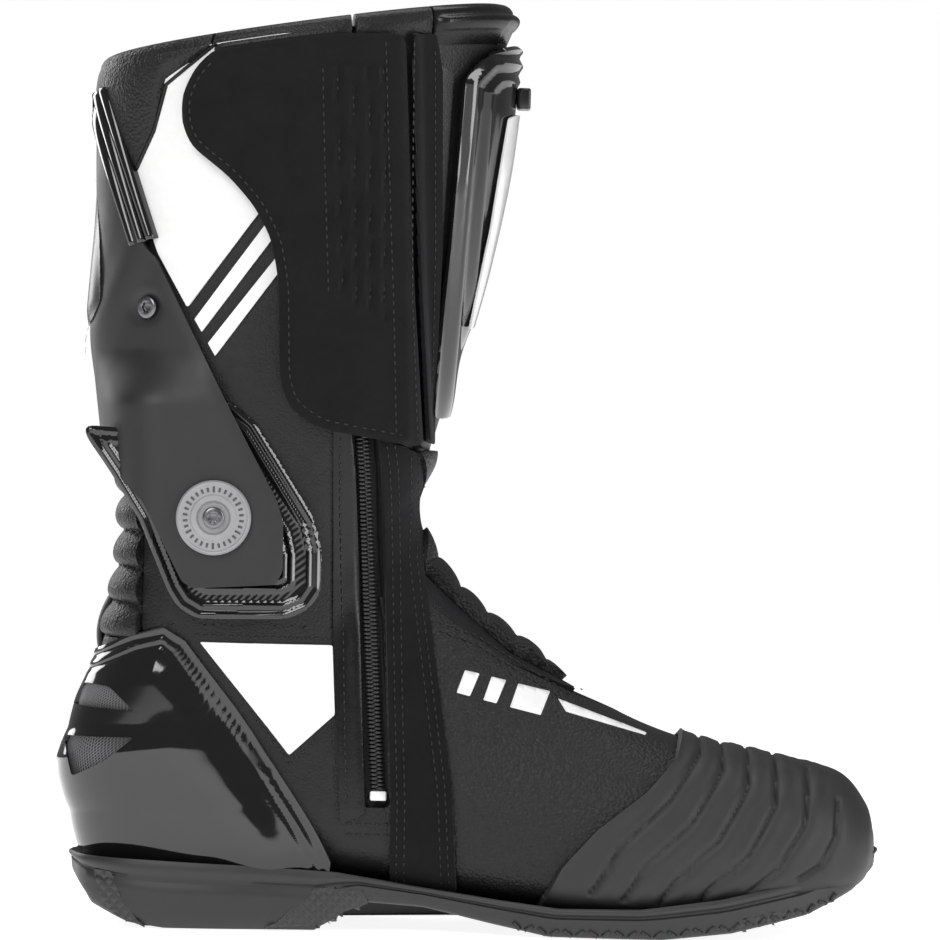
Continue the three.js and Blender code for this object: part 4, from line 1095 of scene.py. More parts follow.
for name, outline in INSERTS.items():
    for side, word in ((MEDIAL, "medial"), (LATERAL, "lateral")):
        flat_plate(
            f"{name}_{word}", outline,
            lambda x, z, side=side: sole_side(x, side) - 0.4 + 1.3 * diamonds(x, z, 4.2),
            side, grip, name, "foot", step=0.7, radius=1.0, wall=2.5,
        )
tread = bmesh.new()
for x in np.arange(-40, 20, 8):
    for y in (-22, -7.5, 7.5, 22):
        shape = Matrix.Translation(Vector((x, y, 0.9)) * MM) @ Matrix.Diagonal(
            (5.6 * MM, 12 * MM, 1.7 * MM, 1)
        )
        bmesh.ops.create_cube(tread, size=1, matrix=shape)
for x in np.arange(112, 150, 8):
    for y in (-36, -22, -7.5, 7.5, 22, 36):
        shape = Matrix.Translation(Vector((x, y, 0.9)) * MM) @ Matrix.Diagonal(
            (5.6 * MM, 12 * MM, 1.7 * MM, 1)
        )
        bmesh.ops.create_cube(tread, size=1, matrix=shape)
new_piece("tread_blocks", tread, sole_rubber, "foot")

# ---------------------------------------------------------------------------
# Insole, footbed and linings
# A fibre board under a foam footbed, stiffeners at toe and heel, and a padded
# textile lining in three parts, glued inside the leather.
# ---------------------------------------------------------------------------
textile = leather(
    "padded lining textile", (0.020, 0.020, 0.022), (0.035, 0.035, 0.038), (0.8, 0.95), 1900, 1.0, 0.2,
    0.25
)
fibre = plain("fibre board", (0.26, 0.20, 0.13), 0.8, bump_scale=1200, bump_depth=0.1)


def floor_pad(name, rise, thickness, material, replaced):
    """A layer on the foot form's floor, a rise above its bottom line."""
    t = np.linspace(2.1, 10.9, 60)
    s = slices(t)
    across = np.linspace(-1, 1, 15)
    width = (s[:, 4] - 3.6) * 0.7
    bm = wrapped(
        [[(b[0], b[5] + w * k, b[1] + rise) for k in across] for b, w in zip(s, width)], closed=False
    )
    bmesh.ops.recalc_face_normals(bm, faces=bm.faces)
    if sum(f.normal.z for f in bm.faces) < 0:
        bmesh.ops.reverse_faces(bm, faces=bm.faces)
    piece = new_piece(name, bm, material, "foot", replaced)
    return thicken(piece, thickness, rim=0.5, offset=1.0)


floor_pad("insole_fibre_board", 3.0, 1.9, fibre, "insole_board")
floor_pad("footbed_foam", 5.3, 4.0, textile, "footbed")
ANKLE_TOP = [(-95, 190), (-52, 190), (-30, 203), (6, 203), (34, 186), (58, 178), (95, 176)]
shaft_outline = [
    *ANKLE_TOP[:-1], *ahead(177, 342), (60, 345), (-64, 325), (-80, 308), (-110, 300), (-110, 190)
]
ankle_outline = [*ANKLE_TOP[:-1], *ahead(177, 80), *FOOT_TOP[1:]]
foot_inner = [
    (300, 79), *FOOT_TOP, (-95, 36), (-60, 42), (-30, 32), (50, 27), (110, 20), (170, 22), (222, 34),
    (300, 34)
]
for name, outline, replaced, body in (
    ("foot_sock", foot_inner, "foot_lining", "foot"),
    ("ankle_sock", ankle_outline, "ankle_lining", None),
    ("shaft_sock", shaft_outline, "shaft_lining", "shaft"),
):
    for side, word in ((MEDIAL, "medial"), (LATERAL, "lateral")):
        piece = new_piece(
            f"{name}_{word}", skin(outline, word, -4.4, detail=0.6, radius=0.8), textile, body, replaced,
        )
        thicken(piece, 2.5, rim=0)
        if body is None:
            across_ankle(piece)
for name in ("toe_puff", "heel_counter"):
    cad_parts[name].data.materials.clear()
    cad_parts[name].data.materials.append(fibre)

# ---------------------------------------------------------------------------
# Shaft
# Smooth black leather from the ankle to the collar, in a front and a back half on
# the inner side, where the zip parts them, and one piece on the outer side.
# ---------------------------------------------------------------------------
zip_up = [(zip_at(z), z) for z in (340, 320, 290, 260, 230, 200, 178)]
back_edge = [(x - 4.5, z) for x, z in zip_up]
front_edge = [(x + 4.5, z) for x, z in zip_up]
shaft_back = [
    (-110, 190), (-52, 190), (-30, 203), (6, 203), (28, 189.5), *back_edge[::-1][1:], (-64, 325),
    (-110, 300)
]
shaft_front = [*front_edge, (43, 184), (58, 178), *ahead(177, 342), (60, 345)]
for name, outline, wrap in (
    ("shaft_leather_back", shaft_back, "medial"),
    ("shaft_leather_front", shaft_front, "medial"),
    ("shaft_leather_lateral", shaft_outline, "lateral"),
):
    thicken(
        new_piece(name, skin(outline, wrap, radius=0.8), smooth, "shaft", "shaft_upper"),
        2.3
    )

# ---------------------------------------------------------------------------
# Collar pads
# Soft foam rolls round the top of the shaft, covered with pebbled leather behind
# and smooth leather elsewhere, turned over the edge and sewn down inside.
# ---------------------------------------------------------------------------
def collar_pad(name, start, end, material, bulge, low):
    """A roll over the shaft's top edge, between two angles. low gives the height of its outer
    lower edge at x."""
    heights = np.linspace(COLLAR - 4.5, COLLAR, 120)
    turns = np.linspace(start, end, max(8, int(abs(end - start) * 150)))
    sections = []
    for k, a in enumerate(turns):
        ends = np.clip(min(k, len(turns) - 1 - k) / 3, 0, 1)
        puff = bulge * (0.25 + 0.75 * math.sin(ends * math.pi / 2))
        face = on_form(heights, np.full(len(heights), a), 0.7)
        first = heights[np.argmax(face[:, 2] >= low(face[:, 0]))]
        shares = np.linspace(0, 1, 12)
        outer = [
            (first + (COLLAR - first) * s, 0.7 + puff * math.sin(math.pi * min(1, s * 0.9 + 0.06)) ** 0.7)
            for s in shares
        ]
        points = [on_form([t], [a], lift)[0] for t, lift in outer]
        rim = on_form([COLLAR], [a], -3.2)[0]
        side = on_form([COLLAR], [a], outer[-1][1])[0] - rim
        inner = on_form([COLLAR], [a], -6.8)[0] - rim
        for angle in np.linspace(20, 160, 8):
            way = side * max(0, math.cos(math.radians(angle))) + inner * max(
                0, -math.cos(math.radians(angle))
            )
            points.append(rim + way + np.array([0, 0, 4.2 * math.sin(math.radians(angle))]))
        for s in np.linspace(0, 1, 7):
            points.append(on_form([COLLAR - 1.0 * s], [a], -6.9 - puff * 0.4 * math.sin(math.pi * s))[0])
        sections.append([tuple(p) for p in points])
    piece = new_piece(name, capped(wrapped(sections)), material, "shaft", "collar_pad")
    piece.data.set_sharp_from_angle(angle=math.radians(60))
    return piece


def angle_at(x, z):
    return float(from_side([(x, z)])[1][0])


ZIP_TOP = angle_at(31, 331)
PAD_BACK = angle_at(-21, 326)
SHIN_PAD = angle_at(60, 335)
WHITE_BORDER = [(-65, 277), (-48.8, 280), (-41.5, 293.5), (-38.1, 314.2), (-20, 325)]
COLLAR_LINE = [(-64, 313), (-21, 321), (30, 327), (88, 336)]
collar_pad("collar_pad_rear", -PAD_BACK, PAD_BACK, pebbled, 2.8, lambda x: height_on(WHITE_BORDER, x))
collar_pad(
    "collar_pad_inner", -ZIP_TOP + 0.0035, -PAD_BACK - 0.004, smooth, 1.4,
    lambda x: height_on(COLLAR_LINE, x)
)
collar_pad(
    "collar_pad_tongue", -SHIN_PAD + 0.004, -ZIP_TOP - 0.0035, smooth, 1.2,
    lambda x: height_on(COLLAR_LINE, x)
)
collar_pad("collar_pad_front", SHIN_PAD, 2 - SHIN_PAD, glossy, 3.6, lambda x: height_on(COLLAR_LINE, x))
collar_pad(
    "collar_pad_outer", PAD_BACK + 0.004, SHIN_PAD - 0.004, smooth, 1.6,
    lambda x: height_on(COLLAR_LINE, x)
)

# ---------------------------------------------------------------------------
# White panels and striped insets
# White leather on both sides of the calf, running down in three slanting stripes
# over a black inset, with a piped and double stitched upper edge.
# ---------------------------------------------------------------------------
PIPING = [
    (1.4, 0.7), (2.1, 0.35), (2.1, -0.35), (1.4, -0.7), (0.6, 0)
]  # lift, and distance to the line's side


def bead(name, line, side, profile, material, body, replaced=()):
    """A bead of one profile along a side-view line."""
    fine = [tuple(p) for p in stepped([tuple(p) for p in line], 1.5, closed=False)]
    edges = []
    for lift, across in profile:
        t, a = from_side(beside(fine, across))
        edges.append(on_form(t, a * side, lift))
    sections = [[tuple(edge[i]) for edge in edges] for i in range(len(fine))]
    return new_piece(name, capped(wrapped(sections)), material, body, replaced)


STRIPES = [
    [(-25.6, 225.6), (-22.9, 221.0), (6.2, 260.4), (4.0, 266.4)],
    [(-20.5, 216.8), (-17.8, 212.2), (8.4, 247.8), (8.0, 254.0)],
]
white_outline = [
    (-17, 329.5), (-38, 313.5), (-42, 294), (-49.5, 279), (-39.5, 250), (-28.2, 230), (2.5, 271.6),
    (16, 300), (16, 331)
]
for side, word in ((MEDIAL, "medial"), (LATERAL, "lateral")):
    thicken(
        new_piece(
            f"white_calf_panel_{word}", skin(white_outline, word, 1.3, radius=1.0), white_hide, "shaft",
            f"white_panel_{word}"
        ),
        1.1, rim=0.3
    )
    for k, stripe in enumerate(STRIPES):
        thicken(
            new_piece(
                f"white_stripe_{word}_{k + 1}", skin(stripe, word, 1.0, radius=0.3), white_hide, "shaft",
            ),
            0.9, rim=0.2
        )
    border = [(-18.5, 327), (-37, 312), (-41.5, 295), (-48, 281)]
    sew("shaft", beside(border, 2.6), side, 0.5)
    sew("shaft", beside(border, 4.6), side, 0.5)
    bead(f"white_panel_piping_{word}", border, side, PIPING, glossy, "shaft")

# ---------------------------------------------------------------------------
# Calf guard and ankle arms
# Matt dark-grey moulded shell round the back of the calf. Its two flat arms turn on
# the ankle pivots. A softer black rim is moulded on along its front edge.
# ---------------------------------------------------------------------------
guard_grey = plain("matt grey moulding", (0.0135, 0.0135, 0.014), 0.52, bump_scale=2400, bump_depth=0.05)
ARM_OUTER = 51.0
TRIM_RIB = [(1.4, 1.65), (3.9, 1.3), (4.8, 0.5), (4.8, -0.5), (3.9, -1.3), (1.4, -1.65)]
GUARD = [
    (-95, 186), (-95, 298), (-63.4, 298), (-42.5, 252), (-39, 248), (-13.6, 197), (5.8, 159), (8, 151),
    (8, 133),
    (5.6, 128), (-23.6, 127), (-27.4, 129.5), (-41, 158.5), (-52, 172), (-64, 184),
]
FOLD = [(-40, 298), (-41, 268), (-48, 245), (-60, 222), (-66, 206)]


def guard_place(t, a, height):
    """On the form above, and low down bent out to stand flat and level with the ankle arms."""
    p = on_form(t, a, height)
    side = np.sign(a + 1e-9)
    level = np.clip((215 - p[:, 2]) / 22, 0, 1)
    level = level * level * (3 - 2 * level)
    back = np.clip(np.abs(a) / 0.30, 0, 1)
    back = back * back * (3 - 2 * back)
    flat = side * (ARM_OUTER + height - 3.1)
    p[:, 1] += (flat - p[:, 1]) * level * back
    away = np.clip((262 - p[:, 2]) / 55, 0, 1)
    p[:, 0] -= 4.2 * away * away * (3 - 2 * away) * (1 - back)
    return p


def guard_relief(x, z, t, a):
    fold = 1.1 * swell(line_distance(x, z, FOLD), 9)
    recess = -1.6 * np.clip(swell(np.hypot(x + 42, z - 230), 7.5) * 1.6, 0, 1)
    edge = -0.5 * swell(line_distance(x, z, GUARD_FRONT), 2.6)
    return 3.1 + fold + recess + edge


GUARD_FRONT = [
    (-63.4, 298), (-42.5, 252), (-39, 248), (-13.6, 197), (5.8, 159), (8, 151), (8, 133), (5.6, 128)
]
guard_bm = skin(GUARD, "back", guard_relief, detail=1.6, radius=1.5, place=guard_place)
guard = new_piece("calf_guard_shell", guard_bm, guard_grey, "shaft", "calf_guard")
thicken(guard, 2.3, rim=0.5)
for side, word in ((MEDIAL, "medial"), (LATERAL, "lateral")):
    screw(f"guard_bolt_{word}", -42, 230, side, 1.7, 4.2, "shaft", f"guard_screw_{word}")
    for k, shift in enumerate((-3.3, 0, 3.3)):
        line = beside([(-63, 311), (-53.6, 283), (-43.8, 254)], shift)
        bead(
            f"guard_trim_rib_{word}_{k + 1}", line, side, TRIM_RIB, gloss, "shaft",
            f"guard_trim_{word}"
        )
spine_outline = [(-95, 278), (-63, 277), (-57, 233), (-59, 226), (-67, 212), (-95, 210)]


def spine_relief(x, z, t, a):
    wedge = np.clip((278 - z) / 60, 0, 1) * np.clip(np.cos(np.pi * a * 1.3), 0, 1)
    return 3.9 + 2.2 * wedge - 1.0 * swell(
        line_distance(x, z, [(-63, 277), (-57, 233), (-59, 226), (-67, 212)]), 3
    )


thicken(
    new_piece(
        "calf_spine_wedge",
        skin(spine_outline, "back", spine_relief, detail=1.5, radius=1.5, place=guard_place), satin,
        "shaft", "calf_spine"
    ),
    2.0, rim=0.4
)

# ---------------------------------------------------------------------------
# Shin plate
# A polished moulded shield over the front of the shaft, edged with a ribbed bead,
# with a white insert, a clip at its top, and a screw low on each side.
# ---------------------------------------------------------------------------
SHIN = [(60, 190.5), (65, 254), (68.5, 316), (76, 325), *ahead(330, 190.5)]
SHIN_EDGE = [(62, 190), (65, 254), (68.5, 316), (76, 325), (100, 329)]
white_gloss = plain("white insert", (0.78, 0.78, 0.78), 0.12, coat=0.4)


def shin_relief(x, z, t, a):
    rim = line_distance(x, z, SHIN_EDGE)
    beads = 1.6 * swell(rim - 3.2, 3.0) + 0.9 * swell(rim - 8.6, 2.2)
    return 2.4 + beads + 0.9 * np.clip(rim / 30, 0, 1) + 3.0 * np.clip((z - 195) / 110, 0, 1)


thicken(
    new_piece(
        "shin_shield", skin(SHIN, "front", shin_relief, detail=1.6, radius=3), gloss, "shaft",
        "shin_plate"
    ),
    2.0, rim=0.4
)
insert_outline = [(82, 303), *ahead(306, 226), (70.5, 224), (77, 262)]
thicken(
    new_piece(
        "shin_white_insert",
        skin(
            insert_outline, "front", lambda x, z, t, a: 4.7 + 3.0 * np.clip((z - 195) / 110, 0, 1),
            radius=1
        ),
        white_gloss, "shaft", "shin_insert"
    ),
    0.9, rim=0.3
)
for side, word in ((MEDIAL, "medial"), (LATERAL, "lateral")):
    screw(f"shin_bolt_{word}", 66, 201, side, 2.0, 2.3, "shaft", f"shin_screw_{word}")
clip = bmesh.new()
bmesh.ops.create_cube(
    clip, size=1,
    matrix=Matrix.Translation(Vector((94.5, 0, 312)) * MM) @ Matrix.Diagonal((5.5 * MM, 12 * MM, 8 * MM, 1))
)
bmesh.ops.bevel(
    clip, geom=clip.edges[:], offset=1.2 * MM, affect="EDGES", segments=3, profile=0.5, material=-1
)
clip_slot = [f for f in clip.faces if f.normal.x > 0.9]
bmesh.ops.inset_region(clip, faces=clip_slot, thickness=1.4 * MM, depth=-0.8 * MM)
new_piece("shin_plate_clip", clip, satin, "shaft", "shin_clip")
gusset = [(57, 184), (60.5, 184), (64, 254), (67.5, 318), (61, 322), (60, 254)]
for side, word in ((MEDIAL, "medial"), (LATERAL, "lateral")):
    thicken(
        new_piece(
            f"shin_side_strip_{word}", skin(gusset, word, 1.0, radius=0.8), glossy, "shaft",
        ),
        0.9, rim=0.3
    )

# ---------------------------------------------------------------------------
# Soft ankle
# Smooth leather sides, with foam rolls quilted into pebbled leather behind the
# heel tendon and over the instep, so that the ankle can flex.
# ---------------------------------------------------------------------------
REAR_SEAM = -44
FRONT_SEAM = [(54, 183), (56, 165), (58.5, 134), (72.5, 120.5), (92.5, 103.5), (118, 90)]
side_outline = [
    (REAR_SEAM, 110), (REAR_SEAM, 193.5), (-30, 203), (6, 203), (34, 186), (54, 179.5), *FRONT_SEAM[1:],
    (92, 100), (66, 118), (42, 124), (28, 113), (-34, 113)
]
side_behind_zip = [
    (REAR_SEAM, 110), (REAR_SEAM, 193.5), (-30, 203), (6, 203), (31.5, 187.5), (33.2, 170), (36, 117),
    (28, 113), (-34, 113),
]
side_before_zip = [
    (41.5, 182.5), (54, 179.5), *FRONT_SEAM[1:], (92, 100), (66, 118), (46, 123.4), (45.4, 116),
    (43, 170)
]
for name, outline, wrap, replaced in (
    ("ankle_leather_lateral", side_outline, "lateral", "ankle_side_lateral"),
    ("ankle_leather_medial", side_behind_zip, "medial", "ankle_side_medial"),
    ("ankle_leather_instep", side_before_zip, "medial", "ankle_stretch_front"),
):
    piece = new_piece(name, skin(outline, wrap, radius=0.8), smooth, None, replaced)
    across_ankle(thicken(piece, 2.2))


def quilted(rolls, depth, fall=0.6, base=-1.2):
    """Foam rolls with a stitched valley between: rolls gives a place's count of rolls along the quilting."""
    def relief(x, z, t, a):
        wave = np.abs(np.sin(np.pi * rolls(x, z)))
        return base + depth * wave**fall
    return relief


def rear_rolls(x, z):
    return (z - 107 + 0.12 * (x + 56)) / 13.4


rear_outline = [
    (-110, 107), (-52, 107), (REAR_SEAM - 0.4, 109.6), (REAR_SEAM - 0.4, 193.2), (-52, 190), (-110, 190)
]
rear = new_piece(
    "tendon_rolls", skin(rear_outline, "back", quilted(rear_rolls, 4.6), detail=1.5, radius=0.6),
    pebbled, None, "ankle_stretch_rear"
)
across_ankle(thicken(rear, 4.2, rim=0.3))
instep_path = [(57, 178), (60, 150), (68, 130), (84, 116), (103, 101), (126, 86)]
path_lengths = np.concatenate([[0], np.cumsum(np.hypot(*np.diff(np.array(instep_path, float), axis=0).T))])


def along_instep(x, z):
    """How far down the instep a side-view point is, in millimetres."""
    best, where = np.full(len(x), 1e9), np.zeros(len(x))
    for k, ((ax, az), (bx, bz)) in enumerate(zip(instep_path[:-1], instep_path[1:])):
        dx, dz = bx - ax, bz - az
        s = ((x - ax) * dx + (z - az) * dz) / (dx * dx + dz * dz)
        s = np.clip(s, 0 if k else -1, 1)
        distance = np.hypot(x - ax - s * dx, z - az - s * dz)
        where = np.where(distance < best, path_lengths[k] + s * math.hypot(dx, dz), where)
        best = np.minimum(best, distance)
    return where


instep_outline = [
    (55, 178.6), (57, 165), (59.2, 134.4), (73, 121), (93, 104), *ahead(88.5, 177, step=8),
]
instep_quilting = quilted(lambda x, z: along_instep(x, z) / 14.2, 2.2, base=2.8)


def instep_relief(x, z, t, a):
    """Full over the ankle, and settling on to the vamp at its lower end."""
    return instep_quilting(x, z, t, a) * np.clip((z - 88) / 12, 0.1, 1)


instep = new_piece(
    "instep_rolls", skin(instep_outline, "front", instep_relief, detail=1.6, radius=0.5), pebbled, None,
    "ankle_stretch_front"
)
across_ankle(thicken(instep, 6.0, rim=0.3))
for k in range(1, 7):
    level = 107 + 13.4 * k
    for side in (MEDIAL, LATERAL):
        sew("ankle", [(-63.5, level + 0.9), (-46, level - 1.2)], side, -0.6)

# ---------------------------------------------------------------------------
# Zip
# A coil zip on the inner side, from under the flap down to a white bottom stop, on
# a woven tape between a polished leather placket and the suede strip.
# ---------------------------------------------------------------------------
tape_cloth = leather(
    "woven zip tape", (0.012, 0.012, 0.012), (0.020, 0.020, 0.020), (0.7, 0.85), 2600, 1.0, 0.1, 0.15
)
nylon = plain("black zip coil", (0.016, 0.016, 0.016), 0.32)
ZIP_FULL = [(31.4, 322), (34, 260), (36.5, 195), (38.5, 170), (41, 115), (44.5, 50)]
zip_fine = np.array([tuple(p) for p in stepped(ZIP_FULL, 2.0, closed=False)])
tape_outline = [*[(x + 11, z) for x, z in ZIP_FULL], *[(x - 11, z) for x, z in ZIP_FULL[::-1]]]
tape = new_piece(
    "zip_tape_cloth", skin(tape_outline, "medial", -2.7, radius=0), tape_cloth, None, "zip_tape",
)
across_ankle(thicken(tape, 0.7, rim=0))
teeth = bmesh.new()
tooth_pitch = 1.5
zip_lengths = np.concatenate([[0], np.cumsum(np.hypot(*np.diff(zip_fine, axis=0).T))])
for k, s in enumerate(np.arange(0, zip_lengths[-1], tooth_pitch / 2)):
    hand = 1 if k % 2 else -1
    x, z = np.interp(s, zip_lengths, zip_fine[:, 0]), np.interp(s, zip_lengths, zip_fine[:, 1])
    (t, a), (t2, a2) = from_side([(x + hand * 1.15, z)]), from_side([(x + hand * 2.15, z)])
    spot = on_form(t, a * MEDIAL, -1.5)[0]
    across = Vector(on_form(t2, a2 * MEDIAL, -1.5)[0] - spot).normalized()
    up = Vector(on_form(t, a * MEDIAL, -0.5)[0] - spot).normalized()
    down = across.cross(up)
    basis = Matrix((across, down, across.cross(down) * -1)).transposed().to_4x4()
    shape = Matrix.Translation(Vector(spot) * MM) @ basis @ Matrix.Diagonal(
        (3.3 * MM, 0.95 * MM, 1.7 * MM, 1)
    )
    bmesh.ops.create_cube(teeth, size=1, matrix=shape)
bmesh.ops.recalc_face_normals(teeth, faces=teeth.faces)
across_ankle(new_piece("zip_teeth", teeth, nylon, None, "zip_chain"))
stop = bmesh.new()
t, a = from_side([(44.7, 50.4)])
spot = on_form(t, a * MEDIAL, -1.0)[0]
bmesh.ops.create_cube(
    stop, size=1,
    matrix=Matrix.Translation(Vector(spot) * MM) @ Matrix.Diagonal((6.2 * MM, 2.8 * MM, 3.6 * MM, 1))
)
bmesh.ops.bevel(
    stop, geom=stop.edges[:], offset=0.7 * MM, affect="EDGES", segments=3, profile=0.5, material=-1
)
new_piece("zip_bottom_stop", stop, white_gloss, "foot", "zip_stop")
placket_outline = [(25.5, 190), (31.7, 187.5), (33.5, 170), (36.2, 115), (39.8, 44), (31, 40), (26.5, 115)]


def placket_relief(x, z, t, a):
    return 1.0 + 0.9 * swell(line_distance(x, z, [(30.4, 187), (32, 170), (34.4, 115), (38, 44)]), 3.2)


placket = new_piece(
    "zip_placket_leather", skin(placket_outline, "medial", placket_relief, detail=1.6, radius=0.8),
    glossy, None, "zip_placket"
)
across_ankle(thicken(placket, 1.0, rim=0.3))
sew("ankle", [(28, 186), (28.5, 150), (30, 115), (33, 46)], MEDIAL, 1.4)
sew("foot", [(26, 103), (27.5, 75), (29.5, 46)], MEDIAL, 0.3)
sew("foot", [(33, 36), (49, 36)], MEDIAL, 0.3)
sew("foot", [(33, 40), (49, 40)], MEDIAL, 0.3)

# ---------------------------------------------------------------------------
# Zip slider and pull
# Blackened zinc castings: the slider rides the teeth behind the flap, and the pull
# tab hangs from its bridge.
# ---------------------------------------------------------------------------
slider_at = Vector(on_form(*[v * s for v, s in zip(from_side([(31.5, 320)]), (1, MEDIAL))], 0)[0])
slider_down = Vector((0.0396, 0.0998, -0.9942))
slider_out = Vector((0.1559, -0.9834, -0.0925))
slider_frame = Matrix((slider_down.cross(slider_out), slider_down, slider_out)).transposed().to_4x4()
slider_frame = Matrix.Translation(slider_at * MM) @ slider_frame
CAST_DISH = 1.3  # from a plate's edge to its sunk face
CAST_SINK = 0.2
CAST_EDGE = 0.22


def cast_plate(name, corners, low, high, material, body, replaced, radius):
    """A rounded plate in the slider's own frame: across, down the zip, and away from the leg."""
    bm = bmesh.new()
    bm.faces.new([bm.verts.new((p.x * MM, p.y * MM, low * MM)) for p in rounded(corners, radius)])
    top = bmesh.ops.extrude_face_region(bm, geom=bm.faces[:])["geom"]
    bmesh.ops.translate(
        bm, verts=[v for v in top if isinstance(v, bmesh.types.BMVert)], vec=(0, 0, (high - low) * MM)
    )
    bmesh.ops.recalc_face_normals(bm, faces=bm.faces)
    faces = [f for f in bm.faces if abs(f.normal.z) > 0.9 and f.calc_center_median().z > low * MM + 1e-6]
    bmesh.ops.inset_region(bm, faces=faces, thickness=CAST_DISH * MM, depth=-CAST_SINK * MM)
    bmesh.ops.transform(bm, matrix=slider_frame, verts=bm.verts)
    bmesh.ops.recalc_face_normals(bm, faces=bm.faces)
    piece = new_piece(name, bm, material, body, replaced)
    edge = piece.modifiers.new("rim", "BEVEL")
    edge.width = CAST_EDGE * MM
    edge.segments = 2
    edge.limit_method = "ANGLE"
    return piece


cast_plate(
    "zip_slider_casting", [(-5, 2), (-3.2, 0), (3.2, 0), (5, 2), (4.4, 15), (-4.4, 15)], 0.55, 1.8,
    dark_steel, "zip_slider_body", "zip_slider", 1.5
)
cast_plate(
    "zip_pull_tab", [(-2.4, 3), (2.4, 3), (4, 24), (3, 31), (-3, 31), (-4, 24)], 2.2, 2.9, dark_steel,
    "zip_pull_body", "zip_pull", 1.5
)

# ---------------------------------------------------------------------------
# Suede strip
# Split suede over the front of the zip, from under the flap to the sole, with a
# double row of stitches along each edge.
# ---------------------------------------------------------------------------
def suede_finish():
    """Suede: a soft nap that lies two ways, in patches, with a dusty sheen."""
    made = bpy.data.materials.new("black suede")
    made.use_nodes = True
    tree = made.node_tree
    shader = tree.nodes["Principled BSDF"]
    shader.inputs["Sheen Weight"].default_value = 0.25
    shader.inputs["Sheen Roughness"].default_value = 0.5
    shader.inputs["Sheen Tint"].default_value = (0.3, 0.3, 0.32, 1)
    shader.inputs["Specular IOR Level"].default_value = 0.15
    where = node(tree, "ShaderNodeTexCoord")
    patches = node(tree, "ShaderNodeTexNoise", Scale=70.0, Detail=6.0, Roughness=0.7)
    nap = node(tree, "ShaderNodeTexNoise", Scale=1800.0, Detail=3.0, Roughness=0.7)
    tint = node(tree, "ShaderNodeMix", data_type="RGBA")
    tint.inputs["A"].default_value = (0.0035, 0.0035, 0.0038, 1)
    tint.inputs["B"].default_value = (0.0095, 0.0095, 0.010, 1)
    rough = node(tree, "ShaderNodeMapRange")
    rough.inputs["To Min"].default_value = 0.85
    rough.inputs["To Max"].default_value = 1.0
    bump = node(tree, "ShaderNodeBump", Strength=0.9, Distance=0.25 * MM)
    link = tree.links.new
    link(where.outputs["Object"], patches.inputs["Vector"])
    link(where.outputs["Object"], nap.inputs["Vector"])
    link(patches.outputs["Fac"], tint.inputs["Factor"])
    link(nap.outputs["Fac"], rough.inputs["Value"])
    link(nap.outputs["Fac"], bump.inputs["Height"])
    link(tint.outputs["Result"], shader.inputs["Base Color"])
    link(rough.outputs["Result"], shader.inputs["Roughness"])
    link(bump.outputs["Normal"], shader.inputs["Normal"])
    return made


suede = suede_finish()
STRIP_BACK = [(41.3, 183), (43, 170), (45.8, 115), (49.4, 48), (50, 19)]
STRIP_FRONT = [(58, 176), (58.5, 137), (66, 90), (71.5, 55), (74.5, 16)]
strip_piece = new_piece(
    "zip_suede_strip", skin([*STRIP_BACK, *STRIP_FRONT[::-1]], "medial", 2.2, detail=1.2, radius=1.0),
    suede, None, "suede_strip"
)
across_ankle(thicken(strip_piece, 1.7, rim=0.5))
for line, away in ((STRIP_BACK, 1), (STRIP_FRONT, -1)):
    for inset in (2.4, 5.2):
        sew("ankle", beside([(x, z) for x, z in line], away * inset), MEDIAL, 2.35)

# ---------------------------------------------------------------------------
# Closure flap
# A suede flap over the zip, lined and edge stitched, with four stretch pleats sewn
# down its middle, closing on a hook-and-loop patch. It folds at its front edge.
# ---------------------------------------------------------------------------
FLAP = [
    (-17, 325), (-24, 318), (-28.5, 308), (-28.5, 297.5), (-25, 289), (-12, 278), (-3, 267), (3, 254.5),
    (5.5, 238),
    (6, 204), (9, 194), (19, 186), (40, 181.5), (54.4, 178), (51.4, 235), (47.6, 331), (20, 330.5),
]
PLEATS = [[(22 + 5.2 * k, 318), (23 + 5.2 * k, 290), (24.5 + 4.6 * k, 236 - 3 * k)] for k in range(4)]


def flap_relief(x, z, t, a):
    rim = line_distance(x, z, [*FLAP, FLAP[0]])
    pleats = sum(1.0 * swell(line_distance(x, z, pleat), 2.5) for pleat in PLEATS)
    valleys = sum(-0.9 * swell(line_distance(x, z, beside(pleat, 2.4)), 1.0) for pleat in PLEATS)
    fold = 0.8 * swell(line_distance(x, z, [(44, 330), (47, 236), (48, 182)]), 3)
    return 6.9 + pleats + valleys + fold - 1.1 * swell(rim, 2.0)


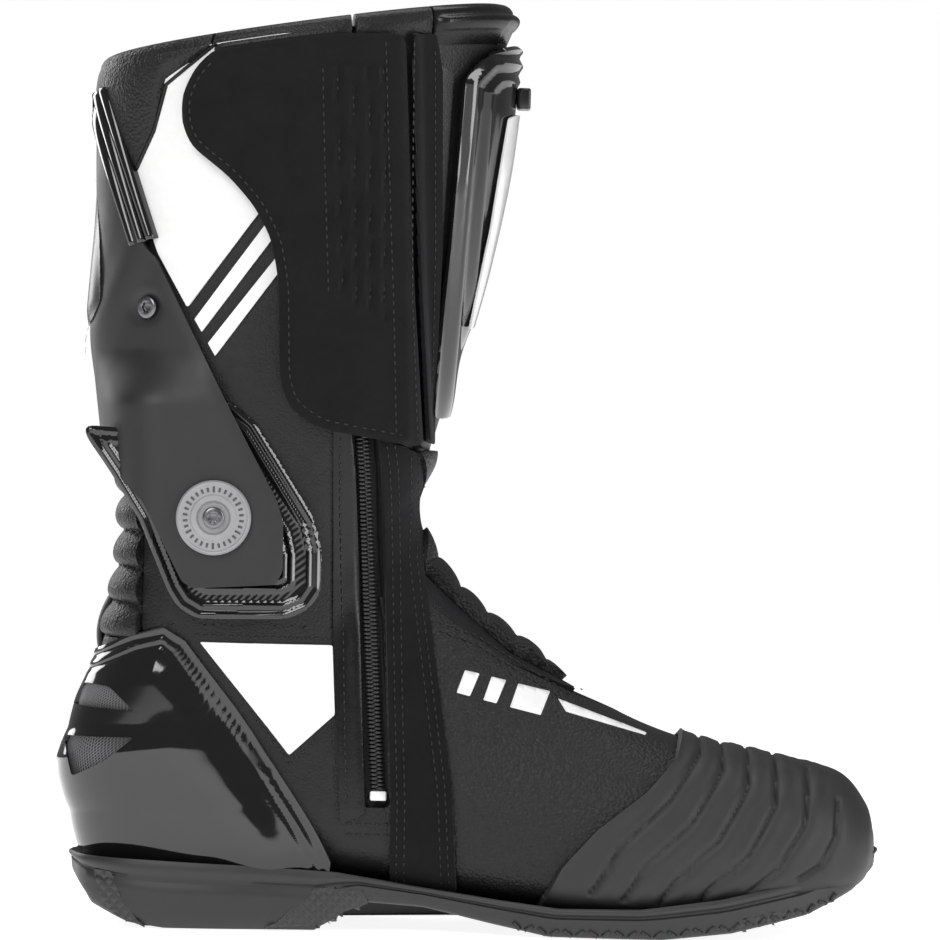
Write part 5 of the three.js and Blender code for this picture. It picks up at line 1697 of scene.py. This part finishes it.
flap = new_piece(
    "closure_flap_suede", skin(FLAP, "medial", flap_relief, detail=1.8, radius=5), suede, "closure",
    "closure_flap"
)
thicken(flap, 1.8, rim=0.5)
flap_edge = [tuple(p) for p in rounded(FLAP[:14], 5)][4:-4]
sew("closure", beside(flap_edge, 3.2), MEDIAL, 6.95)
sew("closure", [(40.5, 328), (43.5, 236), (44.5, 184)], MEDIAL, 7.0)
sew("closure", [(50, 328), (49.8, 235), (51.5, 182)], MEDIAL, 7.0)
for pleat in PLEATS:
    sew("closure", beside(pleat, 2.4), MEDIAL, 6.2)
sew("closure", [(19.5, 318), (20.3, 290), (22, 236)], MEDIAL, 7.0)
hook_cloth = leather(
    "hook fastener", (0.012, 0.012, 0.012), (0.02, 0.02, 0.02), (0.6, 0.8), 1100, 1.0, 0.0, 0.5
)
loop_cloth = leather(
    "loop fastener", (0.010, 0.010, 0.010), (0.022, 0.022, 0.022), (0.9, 1.0), 700, 0.4, 1.0, 0.6
)
GRIP = [(-22, 311), (-22, 296), (-6, 280), (10, 266), (14, 266), (14, 312)]
thicken(
    new_piece(
        "flap_hook_patch", skin(GRIP, "medial", 4.8, radius=2), hook_cloth, "closure", "hook_patch",
    ),
    0.6, rim=0
)
thicken(
    new_piece(
        "calf_loop_patch", skin(GRIP, "medial", 3.6, radius=2), loop_cloth, "shaft", "loop_patch",
    ),
    1.6, rim=0.4
)
base_outline = [
    (56.6, 181), (54, 235), (50.5, 318), (51, 331), (60, 332), (62.5, 318), (63.2, 254), (61.2, 196),
    (61, 180)
]


def base_relief(x, z, t, a):
    fold = swell(line_distance(x, z, [(51, 331), (53.8, 235), (56.4, 181)]), 5)
    return 2.4 + 3.4 * fold


thicken(
    new_piece(
        "flap_hinge_suede", skin(base_outline, "medial", base_relief, detail=1.6, radius=1.5), suede,
        "shaft", "flap_base"
    ),
    1.8, rim=0.5
)
sew("shaft", [(59.5, 326), (60.5, 254), (59.5, 186)], MEDIAL, 2.6)
sew("shaft", [(-20, 212), (-9, 199.5), (5, 206)], LATERAL, 0.3)
sew("shaft", [(36, 189), (58, 181)], LATERAL, 0.3)

# Every row of stitches, one piece for each body that it is sewn to.
for body in ("foot", "shaft", "closure"):
    sewn(f"{body}_stitching", body)
across_ankle(sewn("ankle_stitching", "ankle"))
